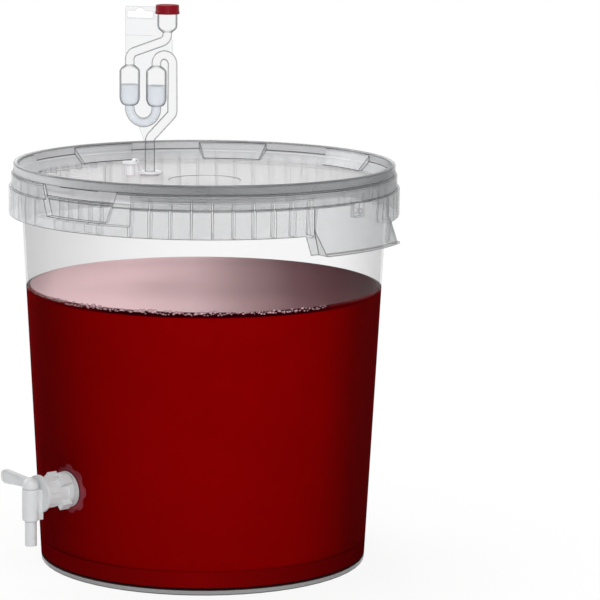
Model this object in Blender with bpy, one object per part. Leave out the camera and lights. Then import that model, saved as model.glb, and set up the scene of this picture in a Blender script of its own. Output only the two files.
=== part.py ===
# Fermentation bucket with lid, bung, airlock and tap. Metres, +Z up.
# The bucket stands on z = 0 with its handles on the X axis, and its pry notch and tap at the front, towards
# -Y. Everything is modelled about the bucket's own axis and hangs from the empty bucket_axis, which is set
# back so that the whole assembly, tap included, is centred on the origin.

from math import cos, floor, pi, radians, sin, tan

import bmesh
import bpy
from mathutils import Matrix, Vector

# Shared values
CLEARANCE = 0.0003          # gap between pieces that touch on the real object
OVERRUN = 0.002             # how far a cut runs past the face it opens
WELD = 0.000001             # distance at which a turned outline closes on itself
FACETS = 60                 # sides of the bucket and of all that fits round or inside it
PITCH = 2 * pi / FACETS

# Bucket wall, floor and foot
BUCKET_HEIGHT = 0.3836
FOOT_RADIUS = 0.1569        # outside of the wall at z = 0
WALL_SLOPE = 0.0506         # radius gained per unit of height, close to 3 degrees of draft
WALL = 0.0018
FLOOR_TOP = 0.0122
FLOOR = 0.0022
FLOOR_FILLET = 0.008
FILLET_STEPS = 3
FOOT_RING = 0.0024
FOOT_CHAMFER = 0.0008
BASE_PANEL_RADIUS = 0.072
BASE_PANEL_RISE = 0.0015

# Double-walled rim of the bucket, from the lip downwards
LIP_HEIGHT = 0.0075
LIP_WALL = 0.0013
RIM_FLARE = 0.0031          # from the outside of the wall to the inside of the lip
FLARE_HEIGHT = 0.010
SHOULDER = 0.0025
COLLAR_STEP = 0.0037        # from the lip out to the collar
COLLAR_HEIGHT = 0.013
COLLAR_ROUND = 0.0008
BEAD_STEP = 0.0025          # from the collar out to the skirt
BEAD_HEIGHT = 0.002
SKIRT_HEIGHT = 0.0245
SKIRT_WALL = 0.0015
RIB = 0.0012

# Pry notch in the rim, at the front
NOTCH_AZIMUTH = radians(-90)
NOTCH_SECTOR = radians(18)
NOTCH_HALF_TOP = radians(14.2)
NOTCH_HALF_BOTTOM = radians(11)
NOTCH_HEIGHT = 0.028
NOTCH_SET_BACK = 0.003      # from the collar's face to the back of the notch
NOTCH_RIDGE = 0.0016
NOTCH_RIDGE_HEIGHT = 0.0016
NOTCH_TRAY_DROP = 0.0008    # the lower panel lies this much deeper than the upper one
NOTCH_FLOOR = 0.002
NOTCH_RIB_AZIMUTHS = [radians(a) for a in (-18, -8, -4, 0, 4, 8, 18)]

# Handles: a shell that flares out of the skirt on each side
HANDLE_AZIMUTHS = (0, pi)
HANDLE_DROP = 0.018         # below the skirt's edge
HANDLE_FLARE = 0.0115
HANDLE_CREASE = 0.008       # the flare starts this far above the skirt's edge
HANDLE_WALL = 0.0018
HANDLE_LIP = 0.0012
HANDLE_LIP_HEIGHT = 0.0025
HANDLE_HALF_TOP = radians(18.2)
HANDLE_HALF_BOTTOM = radians(16.2)
GUSSET_HALF_TOP = radians(20.6)
GUSSET_HALF_BOTTOM = radians(18.8)
GUSSET_RISE = 0.0005
BOSS_DEPTH = 0.006
BOSS_HALF = radians(2.2)
BOSS_HEIGHT = 0.0125
BOSS_HOLE_RADIUS = 0.0025
BOSS_HOLE_DROP = 0.0065
BOSS_FACETS = 12

# Lid
LID_WALL = 0.0015
LID_PANEL_DROP = 0.0175
LID_UPSTAND = 0.0083
LID_CORNER = 0.0017
LID_EDGE_ROUND = 0.0008
LID_PANEL_GAP = 0.0008      # between the lid's dish and the bucket's wall
LID_CENTRE_RADIUS = 0.034
LID_CENTRE_STEP = 0.0005
STACK_COUNT = 8
STACK_AZIMUTH = radians(30.35)
STACK_HALF_TOP = radians(11.25)
STACK_HALF_BOTTOM = radians(9.75)
STACK_REACH = 0.011         # how far the foot of a stacking wedge stands in from its top edge
STACK_TOP = 0.0008
STACK_FOOT = 0.0004

# Bung, its stopper and strap, in the lid's hole
BUNG_OFFSET = 0.069         # from the bucket's axis, towards -X
BUNG_FACETS = 24
BUNG_FLANGE_RADIUS = 0.012
BUNG_FLANGE = 0.0022
BUNG_ROUND = 0.0006
BUNG_PLUG_RADIUS = 0.00875
BUNG_TIP_RADIUS = 0.00725
BUNG_PLUG_LENGTH = 0.0125
BUNG_NECK = 0.0003
STOPPER_DISTANCE = 0.0262
STOPPER_AZIMUTH = radians(-95)
STOPPER_HEAD_RADIUS = 0.008
STOPPER_HEAD = 0.002
STOPPER_STEM_RADIUS = 0.00425
STOPPER_STEM_LENGTH = 0.0115
STOPPER_BEAD = 0.0004
STOPPER_BEAD_HEIGHT = 0.0012
STRAP_WIDTH = 0.0045
STRAP_THICKNESS = 0.0018
STRAP_RISE = 0.0075         # crown of the strap above the stopper's head
STRAP_STEPS = 10

# Airlock, drawn in its own flat plane: u runs across it and z up
AIRLOCK_AZIMUTH = radians(17.7)
AIRLOCK_SIDES = 10
AIRLOCK_WALL = 0.0012
AIRLOCK_HEIGHT = 0.1718
TUBE_RADIUS = 0.0046
STEM_RADIUS = 0.0049
TIP_RADIUS = 0.00365
TIP_TAPER = 0.011
STEM_LENGTH = 0.0425        # tip to the bend above the stem
TIP_DEPTH = 0.008           # how far the tip reaches below the top of the lid's panel
RISER_OFFSET = 0.0235       # straight outlet tube, from the stem's axis
RISER_START = 0.0672        # height of its lower bend above the tip
ARCH_RADIUS = 0.00845
BULB_RADIUS = 0.0100
BULB_LENGTH = 0.0393
BULB_SHOULDER = 0.0055
BULB_SPACING = 0.0279
BULB_START = 0.0733
BULB_NECK = 0.002           # straight run between a bulb and the U-bend
ARCH_CROWN = 0.1233         # height of the arch's middle line above the tip
CUP_OFFSET = 0.0180
CUP_RADIUS = 0.0097
CUP_HEIGHT = 0.0235
CUP_BOWL = 0.0062
CUP_NECK = 0.0012
BEND_RADIUS = 0.0085
CUP_DROP = 0.0015           # rim of the cup below the top of the closed cap
SWAN_CORNER = 0.1380        # corner of the S-bend under the cup, above the tip
SWAN_FALL = 0.0144          # how much lower its other corner lies
BEND_STEPS = 3
WEB_THICKNESS = 0.0015
WEB_LEFT = 0.0259
WEB_TOP = 0.1676
WEB_RIM = 0.0018
SLOT_HEIGHT = 0.0068
SLOT_TOP_RAIL = 0.0044
SLOT_BUMP_RADIUS = 0.0052
SLOT_BUMP_RISE = 0.0028
SLOT_BUMP_STEPS = 6
SLOT_CORNER_STEPS = 3
WEB_SIDE_RAIL = 0.0020
WEB_CAP_GAP = 0.001
WEB_FOOT = 0.0355           # lower point of the web, above the tip

# Airlock cap and water
CAP_FACETS = 32
CAP_HEIGHT = 0.0109
CAP_WALL = 0.0012
CAP_SKIRT = 0.0004
CAP_SKIRT_HEIGHT = 0.003
CAP_CHAMFER = 0.0012
WATER_LEVEL_SHARE = 0.52    # share of the bulbs' length that the water fills
WATER_GAP = 0.0005

# Tap: its axis is level and points out of the bucket, its spout is upright
TAP_AZIMUTH = radians(-102)
TAP_HEIGHT = 0.088
TAP_REACH = 0.0425          # from the wall to the spout's axis
TAP_FACETS = 24
HOUSING_RADIUS = 0.008
HOUSING_ABOVE = 0.0063
HOUSING_BELOW = 0.024
HOUSING_FACE_WIDTH = 0.0135
HOUSING_CHAMFER = 0.0008
CORE_RADIUS = 0.006
DISC_RADIUS = 0.0176
DISC_THICKNESS = 0.0032
BARREL_RADIUS = 0.014
BARREL_BORE = 0.010
CROSS_BORE = 0.0042
COLLAR_RADIUS = 0.0165
COLLAR_THICKNESS = 0.0036
THREAD_RADIUS = 0.013
THREAD_LENGTH = 0.022
TAIL_CHAMFER = 0.0012
LUG_COUNT = 4
LUG_RADIUS = 0.0187
LUG_WIDTH = 0.009
LUG_LENGTH = 0.0085
WASHER_RADIUS = 0.0170
WASHER_STEP = 0.0012
WASHER_THICKNESS = 0.0030   # through the thinnest part of the outer washer's seat
NUT_LOBES = 8
NUT_THICKNESS = 0.0065
NUT_FLANGE = 0.0024
NUT_FLANGE_RADIUS = 0.0185
NUT_VALLEY_RADIUS = 0.0197
NUT_LOBE_RADIUS = 0.0235
NUT_LOBE_HALF = radians(6)
NUT_VALLEY_HALF = radians(7)

# Turning core of the tap
SPOUT_RADIUS = 0.0055
SPOUT_BOTTOM = 0.040
SPOUT_BORE = 0.0038
SPOUT_CHAMFER = 0.0006
DOME_HEIGHT = 0.0105
DOME_SKIRT = 0.0028
DOME_STEPS = 5
LEVER_LENGTH = 0.044
LEVER_ROOT_HEIGHT = 0.0066
LEVER_TIP_RADIUS = 0.0065
LEVER_TIP_LEAN = 5          # degrees that the lever's round tip runs on past a half circle, each way
LEVER_TIP_STEPS = 8
LEVER_THICKNESS = 0.0046
LEVER_FRAME = 0.0014
LEVER_RECESS = 0.0009

# Wine
WINE_LEVEL = 0.267


def wall_radius(z):
    return FOOT_RADIUS + WALL_SLOPE * z


def inner_radius(z):
    return wall_radius(z) - WALL


# Levels and radii that the bucket's rim, the lid and the tap share
shoulder_z = BUCKET_HEIGHT - LIP_HEIGHT
collar_bottom = shoulder_z - COLLAR_HEIGHT
bead_bottom = collar_bottom - BEAD_HEIGHT
skirt_bottom = bead_bottom - SKIRT_HEIGHT
handle_bottom = skirt_bottom - HANDLE_DROP
crease_z = skirt_bottom + HANDLE_CREASE
flare_bottom = shoulder_z - FLARE_HEIGHT
lip_inner = wall_radius(shoulder_z) + RIM_FLARE
lip_outer = lip_inner + LIP_WALL
collar_radius = lip_outer + COLLAR_STEP
skirt_radius = collar_radius + BEAD_STEP
skirt_inner = skirt_radius - SKIRT_WALL
lid_top = BUCKET_HEIGHT + CLEARANCE + LID_WALL
panel_top = lid_top - LID_PANEL_DROP
tip_z = panel_top - TIP_DEPTH
spout_axis = wall_radius(TAP_HEIGHT) + TAP_REACH
front_reach = spout_axis * sin(-TAP_AZIMUTH) + HOUSING_RADIUS
back_shift = (front_reach - skirt_radius) / 2


# Basic makers

def srgb(code):
    channels = [int(code[i:i + 2], 16) / 255 for i in (0, 2, 4)]
    return [c / 12.92 if c <= 0.04045 else ((c + 0.055) / 1.055) ** 2.4 for c in channels]


def material(name, code, roughness, alpha=1.0):
    made = bpy.data.materials.new(name)
    made.use_nodes = True
    shader = made.node_tree.nodes["Principled BSDF"]
    shader.inputs["Base Color"].default_value = (*srgb(code), 1.0)
    shader.inputs["Roughness"].default_value = roughness
    shader.inputs["Metallic"].default_value = 0.0
    shader.inputs["Alpha"].default_value = alpha
    return made


def empty(name, parent, location, turn=0.0):
    made = bpy.data.objects.new(name, None)
    bpy.context.scene.collection.objects.link(made)
    made.parent = parent
    made.location = location
    made.rotation_euler.z = turn
    return made


# Turns a bmesh into an object whose faces point out
def finish(name, shape):
    bmesh.ops.recalc_face_normals(shape, faces=shape.faces)
    mesh = bpy.data.meshes.new(name)
    shape.to_mesh(mesh)
    shape.free()
    made = bpy.data.objects.new(name, mesh)
    bpy.context.scene.collection.objects.link(made)
    return made


# Turns an outline of (radius, z) points round the Z axis. An outline that starts and ends on the axis is left
# open there.
def turned(name, outline, facets=FACETS):
    shape = bmesh.new()
    verts = [shape.verts.new((r, 0, z)) for r, z in outline]
    edges = [shape.edges.new(pair) for pair in zip(verts, verts[1:])]
    if outline[0][0] > 0 or outline[-1][0] > 0:
        edges.append(shape.edges.new((verts[-1], verts[0])))
    bmesh.ops.spin(shape, geom=verts + edges, cent=(0, 0, 0), axis=(0, 0, 1), angle=2 * pi,
                   steps=facets, use_merge=True)
    bmesh.ops.remove_doubles(shape, verts=shape.verts, dist=WELD)
    return finish(name, shape)


# Adds a solid that spans a sector of the round: its outline's points are (radius, z, half angle). The sector
# is cut into the same facets as the bucket, so its faces lie parallel to the bucket's.
def add_sector(shape, outline, azimuth):
    least = min(point[2] for point in outline)
    first = floor((azimuth - least) / PITCH + 1.01)
    last = floor((azimuth + least) / PITCH - 0.01)
    inner = [k * PITCH for k in range(first, last + 1)]
    columns = [[azimuth - half for _, _, half in outline]]
    columns += [[angle] * len(outline) for angle in inner]
    columns += [[azimuth + half for _, _, half in outline]]
    rings = [[shape.verts.new((r * cos(a), r * sin(a), z)) for (r, z, _), a in zip(outline, column)]
             for column in columns]
    count = len(outline)
    faces = [shape.faces.new((left[i], left[(i + 1) % count], right[(i + 1) % count], right[i]))
             for left, right in zip(rings, rings[1:]) for i in range(count)]
    faces += [shape.faces.new(rings[0]), shape.faces.new(rings[-1])]
    if least < max(point[2] for point in outline):
        bmesh.ops.triangulate(shape, faces=faces)


def sectors(name, outline, azimuths):
    shape = bmesh.new()
    for azimuth in azimuths:
        add_sector(shape, outline, azimuth)
    return finish(name, shape)


# Extrudes a flat outline of (u, z) points by a thickness centred on the XZ plane
def plate(name, outline, thickness):
    shape = bmesh.new()
    near = [shape.verts.new((u, -thickness / 2, z)) for u, z in outline]
    far = [shape.verts.new((u, thickness / 2, z)) for u, z in outline]
    shape.faces.new(near)
    shape.faces.new(far)
    for i in range(len(outline)):
        j = (i + 1) % len(outline)
        shape.faces.new((near[i], near[j], far[j], far[i]))
    return finish(name, shape)


# Round tube through (u, z, radius) stations in the XZ plane
def pipe(name, stations, sides):
    shape = bmesh.new()
    rings = []
    for i, (u, z, radius) in enumerate(stations):
        before = Vector(stations[max(i - 1, 0)][:2])
        after = Vector(stations[min(i + 1, len(stations) - 1)][:2])
        along = (after - before).normalized()
        across = Vector((along.y, -along.x))
        ring = []
        for k in range(sides):
            angle = 2 * pi * (k + 0.5) / sides
            side = radius * cos(angle)
            ring.append(shape.verts.new((u + across.x * side, radius * sin(angle), z + across.y * side)))
        rings.append(ring)
    for ring, following in zip(rings, rings[1:]):
        for k in range(sides):
            n = (k + 1) % sides
            shape.faces.new((ring[k], ring[n], following[n], following[k]))
    shape.faces.new(rings[0])
    shape.faces.new(rings[-1])
    return finish(name, shape)


def cylinder(name, radius, start, end, facets=TAP_FACETS):
    line = Vector(end) - Vector(start)
    made = turned(name, [(0, line.length), (radius, line.length), (radius, 0), (0, 0)], facets)
    made.data.transform(line.to_track_quat("Z", "X").to_matrix().to_4x4())
    made.data.transform(Matrix.Translation(start))
    return made


def box(name, low, high):
    shape = bmesh.new()
    bmesh.ops.create_cube(shape, size=1)
    size = Vector(high) - Vector(low)
    bmesh.ops.scale(shape, vec=size, verts=shape.verts)
    bmesh.ops.translate(shape, vec=(Vector(high) + Vector(low)) / 2, verts=shape.verts)
    return finish(name, shape)


# Applies a boolean and removes the second solid. The bucket and the lid need the manifold solver: the exact
# one loses faces where the twisted ends of the sectors meet their walls.
def combine(target, other, operation, solver="EXACT"):
    modifier = target.modifiers.new(other.name, "BOOLEAN")
    modifier.operation = operation
    modifier.solver = solver
    modifier.object = other
    with bpy.context.temp_override(object=target, active_object=target):
        bpy.ops.object.modifier_apply(modifier=modifier.name)
    bpy.data.objects.remove(other, do_unlink=True)


def cut(target, cutter, solver="EXACT"):
    combine(target, cutter, "DIFFERENCE", solver)


def join(target, other, solver="EXACT"):
    combine(target, other, "UNION", solver)


def dress(piece, look, parent):
    piece.data.materials.clear()
    piece.data.materials.append(look)
    piece.data.shade_smooth()
    piece.data.set_sharp_from_angle(angle=radians(35))
    piece.parent = parent
    return piece


def arc(centre, radius, start, end, steps):
    angles = [radians(start + (end - start) * k / steps) for k in range(steps + 1)]
    return [(centre[0] + radius * cos(a), centre[1] + radius * sin(a)) for a in angles]


# Bucket

# Outline of the wall, floor, foot and rim, with the rim still solid between its two walls
def bucket_outline():
    fillet_z = FLOOR_TOP + FLOOR_FILLET
    fillet = arc((inner_radius(fillet_z) - FLOOR_FILLET, fillet_z), FLOOR_FILLET, -90, 0, FILLET_STEPS)
    underside = FLOOR_TOP - FLOOR
    inside = [(0, FLOOR_TOP + BASE_PANEL_RISE), (BASE_PANEL_RADIUS, FLOOR_TOP + BASE_PANEL_RISE),
              (BASE_PANEL_RADIUS + BASE_PANEL_RISE, FLOOR_TOP), *fillet,
              (inner_radius(flare_bottom), flare_bottom), (lip_inner, shoulder_z), (lip_inner, BUCKET_HEIGHT)]
    outside = [(lip_outer, BUCKET_HEIGHT), (lip_outer, shoulder_z),
               (collar_radius - COLLAR_ROUND, shoulder_z),
               (collar_radius, shoulder_z - COLLAR_ROUND), (collar_radius, collar_bottom),
               (skirt_radius, collar_bottom), (skirt_radius, skirt_bottom),
               (wall_radius(skirt_bottom), skirt_bottom), (wall_radius(FOOT_CHAMFER), FOOT_CHAMFER),
               (FOOT_RADIUS - FOOT_CHAMFER, 0), (FOOT_RADIUS - FOOT_RING, 0),
               (FOOT_RADIUS - FOOT_RING, underside),
               (BASE_PANEL_RADIUS + BASE_PANEL_RISE, underside),
               (BASE_PANEL_RADIUS, underside + BASE_PANEL_RISE), (0, underside + BASE_PANEL_RISE)]
    return inside + outside


# Radius just outside the wall, so that a cut along it leaves the wall whole
def beside_wall(z):
    return wall_radius(z) + CLEARANCE


def flare_back(z):
    climb = (lip_inner - inner_radius(flare_bottom)) / FLARE_HEIGHT
    return inner_radius(flare_bottom) + climb * (z - flare_bottom) + WALL + CLEARANCE


# The cells between the ribs, open below
def rib_cells():
    top = shoulder_z - SHOULDER
    bottom = skirt_bottom - OVERRUN
    step = collar_bottom - SKIRT_WALL
    half = PITCH / 2 - RIB / 2 / skirt_radius
    collar_inner = collar_radius - SKIRT_WALL
    profile = [(beside_wall(bottom), bottom), (skirt_inner, bottom), (skirt_inner, step),
               (collar_inner, step), (collar_inner, top), (flare_back(top), top),
               (beside_wall(flare_bottom), flare_bottom)]
    azimuths = [PITCH * (k + 0.5) for k in range(FACETS)]
    away = [a for a in azimuths if cos(a - NOTCH_AZIMUTH) < cos(NOTCH_SECTOR)]
    return sectors("rib_cells", [(r, z, half) for r, z in profile], away)


def notch_levels():
    top = shoulder_z
    bottom = top - NOTCH_HEIGHT
    ridge_bottom = collar_bottom + BEAD_HEIGHT / 2
    return top, ridge_bottom + NOTCH_RIDGE_HEIGHT, ridge_bottom, bottom


def notch_back():
    return collar_radius - NOTCH_SET_BACK


# Low cells under the notch, which run up behind its back panel
def notch_cells():
    bottom = skirt_bottom - OVERRUN
    top = flare_bottom - CLEARANCE
    floor_z = notch_levels()[3] - NOTCH_FLOOR
    panel = notch_back() - NOTCH_TRAY_DROP - SKIRT_WALL
    shape = bmesh.new()
    for left, right in zip(NOTCH_RIB_AZIMUTHS, NOTCH_RIB_AZIMUTHS[1:]):
        half = (right - left) / 2 - RIB / 2 / skirt_radius
        profile = [(beside_wall(bottom), bottom), (skirt_inner, bottom), (skirt_inner, floor_z),
                   (panel, floor_z), (panel, top), (beside_wall(top), top)]
        add_sector(shape, [(r, z, half) for r, z in profile], NOTCH_AZIMUTH + (left + right) / 2)
    return finish("notch_cells", shape)


# The notch itself: a trapezoid recess, open above and in front, with a ridge across its back
def notch_recess():
    top, ridge_top, ridge_bottom, bottom = notch_levels()
    back = notch_back()
    front = skirt_radius + OVERRUN
    ridge = back + NOTCH_RIDGE
    tray = back - NOTCH_TRAY_DROP
    blend = NOTCH_RIDGE_HEIGHT / 2

    def half(z):
        share = (top - z) / (top - bottom)
        return NOTCH_HALF_TOP + (NOTCH_HALF_BOTTOM - NOTCH_HALF_TOP) * share

    profile = [(back, top + OVERRUN), (front, top + OVERRUN), (front, bottom), (tray, bottom),
               (tray, ridge_bottom - blend), (ridge, ridge_bottom), (ridge, ridge_top),
               (back, ridge_top + blend)]
    return sectors("notch_recess", [(r, z, half(z)) for r, z in profile], [NOTCH_AZIMUTH])


# Flat plates that carry the skirt's face down beside each handle
def handle_gussets():
    inner = skirt_inner - CLEARANCE
    outer = skirt_radius - CLEARANCE
    top = skirt_bottom + GUSSET_RISE
    bottom = handle_bottom + CLEARANCE
    return sectors("gussets", [(inner, top, GUSSET_HALF_TOP), (outer, top, GUSSET_HALF_TOP),
                               (outer, bottom, GUSSET_HALF_BOTTOM), (inner, bottom, GUSSET_HALF_BOTTOM)],
                   HANDLE_AZIMUTHS)


def flare_slope():
    return (HANDLE_FLARE + SKIRT_WALL / 2) / (crease_z - handle_bottom)


# Solid wedge that becomes a handle's shell once it is hollowed
def handle_wedges():
    inside = skirt_radius - SKIRT_WALL / 2
    lip_z = handle_bottom + HANDLE_LIP_HEIGHT
    face = inside + flare_slope() * (crease_z - lip_z)
    edge = skirt_radius + HANDLE_FLARE + HANDLE_LIP
    low = HANDLE_HALF_BOTTOM
    return sectors("wedges", [(inside, crease_z, HANDLE_HALF_TOP), (face, lip_z, low), (edge, lip_z, low),
                              (edge, handle_bottom, low), (inside, handle_bottom, low)], HANDLE_AZIMUTHS)


# Finger space inside each handle, open below
def handle_hollows():
    inner = skirt_inner + CLEARANCE
    middle = skirt_radius - SKIRT_WALL / 2
    turn_z = crease_z - (inner + HANDLE_WALL - middle) / flare_slope()
    low = handle_bottom - OVERRUN
    low_face = middle + flare_slope() * (crease_z - low) - HANDLE_WALL
    thin = HANDLE_WALL / skirt_radius
    high_half = HANDLE_HALF_TOP - thin
    low_half = HANDLE_HALF_BOTTOM - thin
    wall = CLEARANCE / 2
    return sectors("hollows", [(wall_radius(bead_bottom) + wall, bead_bottom, high_half),
                               (inner, bead_bottom, high_half), (inner, turn_z, high_half),
                               (low_face, low, low_half), (wall_radius(low) + wall, low, low_half)],
                   HANDLE_AZIMUTHS)


# Boss with a cross hole behind the skirt, in the middle of each handle
def add_bosses(bucket):
    outer = skirt_radius - SKIRT_WALL / 2
    inner = outer - BOSS_DEPTH
    top = bead_bottom + BEAD_HEIGHT / 4
    join(bucket, sectors("bosses", [(inner, top, BOSS_HALF), (outer, top, BOSS_HALF),
                                    (outer, top - BOSS_HEIGHT, BOSS_HALF),
                                    (inner, top - BOSS_HEIGHT, BOSS_HALF)], HANDLE_AZIMUTHS), "MANIFOLD")
    z = bead_bottom - BOSS_HOLE_DROP
    for side in (1, -1):
        start = (side * (inner - OVERRUN), 0, z)
        end = (side * (skirt_radius + OVERRUN), 0, z)
        cut(bucket, cylinder("boss_hole", BOSS_HOLE_RADIUS, start, end, BOSS_FACETS), "MANIFOLD")


def make_bucket(parent):
    bucket = turned("bucket", bucket_outline())
    for added in (handle_wedges(), handle_gussets()):
        join(bucket, added, "MANIFOLD")
    for cutter in (rib_cells(), notch_cells(), handle_hollows()):
        cut(bucket, cutter, "MANIFOLD")
    add_bosses(bucket)
    cut(bucket, notch_recess(), "MANIFOLD")
    direction = Vector((cos(TAP_AZIMUTH), sin(TAP_AZIMUTH), 0))
    start = direction * (inner_radius(TAP_HEIGHT) - WASHER_RADIUS)
    end = direction * spout_axis
    start.z = end.z = TAP_HEIGHT
    cut(bucket, cylinder("tap_hole", THREAD_RADIUS + CLEARANCE, start, end), "MANIFOLD")
    return dress(bucket, material("bucket_polypropylene", "c9cccd", 0.35, 0.5), parent)


# Lid

# Outside of the lid's dish, where it meets the panel
def dish_radius():
    return inner_radius(panel_top - LID_WALL) - LID_PANEL_GAP


def lid_outline():
    band_inner = lip_outer + CLEARANCE
    band_outer = band_inner + LID_WALL
    upstand_outer = lip_inner - CLEARANCE
    upstand_inner = upstand_outer - LID_WALL
    knee = lid_top - LID_UPSTAND
    panel_under = panel_top - LID_WALL
    dish = dish_radius()
    over = [(0, panel_top - LID_CENTRE_STEP), (LID_CENTRE_RADIUS, panel_top - LID_CENTRE_STEP),
            (LID_CENTRE_RADIUS + LID_CENTRE_STEP, panel_top), (dish - LID_WALL - LID_CORNER, panel_top),
            (dish - LID_WALL, panel_top + LID_CORNER / 2), (upstand_inner, knee),
            (upstand_inner, lid_top - LID_EDGE_ROUND), (upstand_inner + LID_EDGE_ROUND, lid_top),
            (band_outer - LID_EDGE_ROUND, lid_top), (band_outer, lid_top - LID_EDGE_ROUND),
            (band_outer, shoulder_z + CLEARANCE)]
    ceiling = BUCKET_HEIGHT + CLEARANCE
    under = [(band_inner, shoulder_z + CLEARANCE), (band_inner, ceiling), (upstand_outer, ceiling),
             (upstand_outer, knee - LID_EDGE_ROUND), (dish, panel_top), (dish - LID_CORNER, panel_under),
             (0, panel_under)]
    return over + under


# Stacking wedges: the lid's inner wall pushed inwards to a slanting face, hollow behind
def add_stacking_wedges(lid):
    azimuths = [STACK_AZIMUTH + 2 * pi * k / STACK_COUNT for k in range(STACK_COUNT)]
    head = lip_inner - CLEARANCE - LID_WALL / 2
    foot = head - STACK_REACH
    top = lid_top - STACK_TOP
    bottom = panel_top + STACK_FOOT
    slope = STACK_REACH / (top - bottom)
    inside = panel_top - LID_WALL / 2
    face = [(head, top, STACK_HALF_TOP), (foot, bottom, STACK_HALF_BOTTOM), (foot, inside, STACK_HALF_BOTTOM),
            (dish_radius() - LID_CORNER, inside, STACK_HALF_BOTTOM),
            (head, lid_top - LID_UPSTAND, STACK_HALF_TOP)]
    join(lid, sectors("stacking_wedges", face, azimuths), "MANIFOLD")
    shift = LID_WALL * (1 + slope * slope) ** 0.5
    thin = LID_WALL / head
    low = panel_top - LID_WALL - LID_CENTRE_STEP - OVERRUN
    high_half = STACK_HALF_TOP - thin
    low_half = STACK_HALF_BOTTOM - thin
    hollow_top = BUCKET_HEIGHT - LID_WALL
    outside = (lip_inner + lip_outer) / 2
    hollow = [(head - slope * (top - hollow_top) + shift, hollow_top, high_half),
              (outside, hollow_top, high_half), (outside, low, low_half),
              (foot + shift, low, low_half), (foot + shift, bottom, low_half)]
    cut(lid, sectors("wedge_hollows", hollow, azimuths), "MANIFOLD")


def make_lid(parent):
    lid = turned("lid", lid_outline())
    add_stacking_wedges(lid)
    start = (-BUNG_OFFSET, 0, panel_top - LID_WALL - OVERRUN)
    end = (-BUNG_OFFSET, 0, panel_top + OVERRUN)
    cut(lid, cylinder("bung_hole", BUNG_PLUG_RADIUS + CLEARANCE, start, end, BUNG_FACETS), "MANIFOLD")
    return dress(lid, material("lid_polypropylene", "d2d5d6", 0.32, 0.55), parent)


# Bung and stopper

# Radius of the airlock's stem at a height above its tip
def stem_radius(height):
    return TIP_RADIUS + (STEM_RADIUS - TIP_RADIUS) * min(height / TIP_TAPER, 1.0)


def make_bung(parent):
    top = panel_top + CLEARANCE + BUNG_FLANGE
    seat = panel_top + CLEARANCE
    neck_z = panel_top - LID_WALL - CLEARANCE
    tip = neck_z - BUNG_PLUG_LENGTH + LID_WALL
    flat = cos(pi / BUNG_FACETS)
    mouth = (stem_radius(top - tip_z) + CLEARANCE) / flat
    throat = (TIP_RADIUS + CLEARANCE) / flat
    outline = [(mouth, top - BUNG_ROUND), (mouth + BUNG_ROUND, top), (BUNG_FLANGE_RADIUS - BUNG_ROUND, top),
               (BUNG_FLANGE_RADIUS, top - BUNG_ROUND), (BUNG_FLANGE_RADIUS, seat),
               (BUNG_PLUG_RADIUS - BUNG_NECK, seat), (BUNG_PLUG_RADIUS - BUNG_NECK, neck_z),
               (BUNG_PLUG_RADIUS, neck_z - BUNG_ROUND), (BUNG_TIP_RADIUS, tip + BUNG_ROUND),
               (BUNG_TIP_RADIUS - BUNG_ROUND, tip), (throat, tip), (throat, tip_z)]
    bung = turned("bung", outline, BUNG_FACETS)
    return dress(bung, material("bung_soft_plastic", "eeeff2", 0.45), parent)


# The strap is a flat band along an arc from the bung's flange over to the stopper's head
def make_stopper(parent):
    foot = CLEARANCE
    head_bottom = foot + STOPPER_STEM_LENGTH
    head_top = head_bottom + STOPPER_HEAD
    bead = STOPPER_STEM_RADIUS + STOPPER_BEAD
    far = STOPPER_DISTANCE
    outline = [(0, head_top), (STOPPER_HEAD_RADIUS - BUNG_ROUND, head_top),
               (STOPPER_HEAD_RADIUS, head_top - BUNG_ROUND), (STOPPER_HEAD_RADIUS, head_bottom),
               (STOPPER_STEM_RADIUS, head_bottom), (STOPPER_STEM_RADIUS, foot + 2 * STOPPER_BEAD_HEIGHT),
               (bead, foot + STOPPER_BEAD_HEIGHT), (STOPPER_STEM_RADIUS - STOPPER_BEAD, foot), (0, foot)]
    stopper = turned("stopper_strap", outline, BUNG_FACETS)
    stopper.data.transform(Matrix.Translation((far, 0, 0)))
    start = Vector((BUNG_FLANGE_RADIUS + CLEARANCE, CLEARANCE + BUNG_FLANGE / 2))
    crown = Vector(((start.x + far) / 2, head_top + STRAP_RISE))
    end = Vector((far - STOPPER_HEAD_RADIUS / 2, head_top - STRAP_THICKNESS / 2))
    shares = [k / STRAP_STEPS for k in range(STRAP_STEPS + 1)]
    route = [start.lerp(crown, t).lerp(crown.lerp(end, t), t) for t in shares]
    band = [p + Vector((0, STRAP_THICKNESS / 2)) for p in route]
    band += [p - Vector((0, STRAP_THICKNESS / 2)) for p in reversed(route)]
    join(stopper, plate("strap", band, STRAP_WIDTH))
    stopper.data.transform(Matrix.Rotation(STOPPER_AZIMUTH, 4, "Z"))
    stopper.location = (0, 0, panel_top)
    return dress(stopper, material("stopper_soft_plastic", "f0f1f4", 0.45), parent)


# Airlock

# Arc of tube stations round a corner of the route
def bend(before, corner, after, radius, tube):
    corner = Vector(corner)
    back = (Vector(before) - corner).normalized()
    ahead = (Vector(after) - corner).normalized()
    turn = pi - back.angle(ahead)
    centre = corner + (back + ahead).normalized() * radius / cos(turn / 2)
    spoke = corner + back * radius * tan(turn / 2) - centre
    side = 1 if (ahead.x * back.y - ahead.y * back.x) > 0 else -1
    spokes = [Matrix.Rotation(side * turn * k / BEND_STEPS, 2) @ spoke for k in range(BEND_STEPS + 1)]
    return [(centre.x + s.x, centre.y + s.y, tube) for s in spokes]


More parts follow.
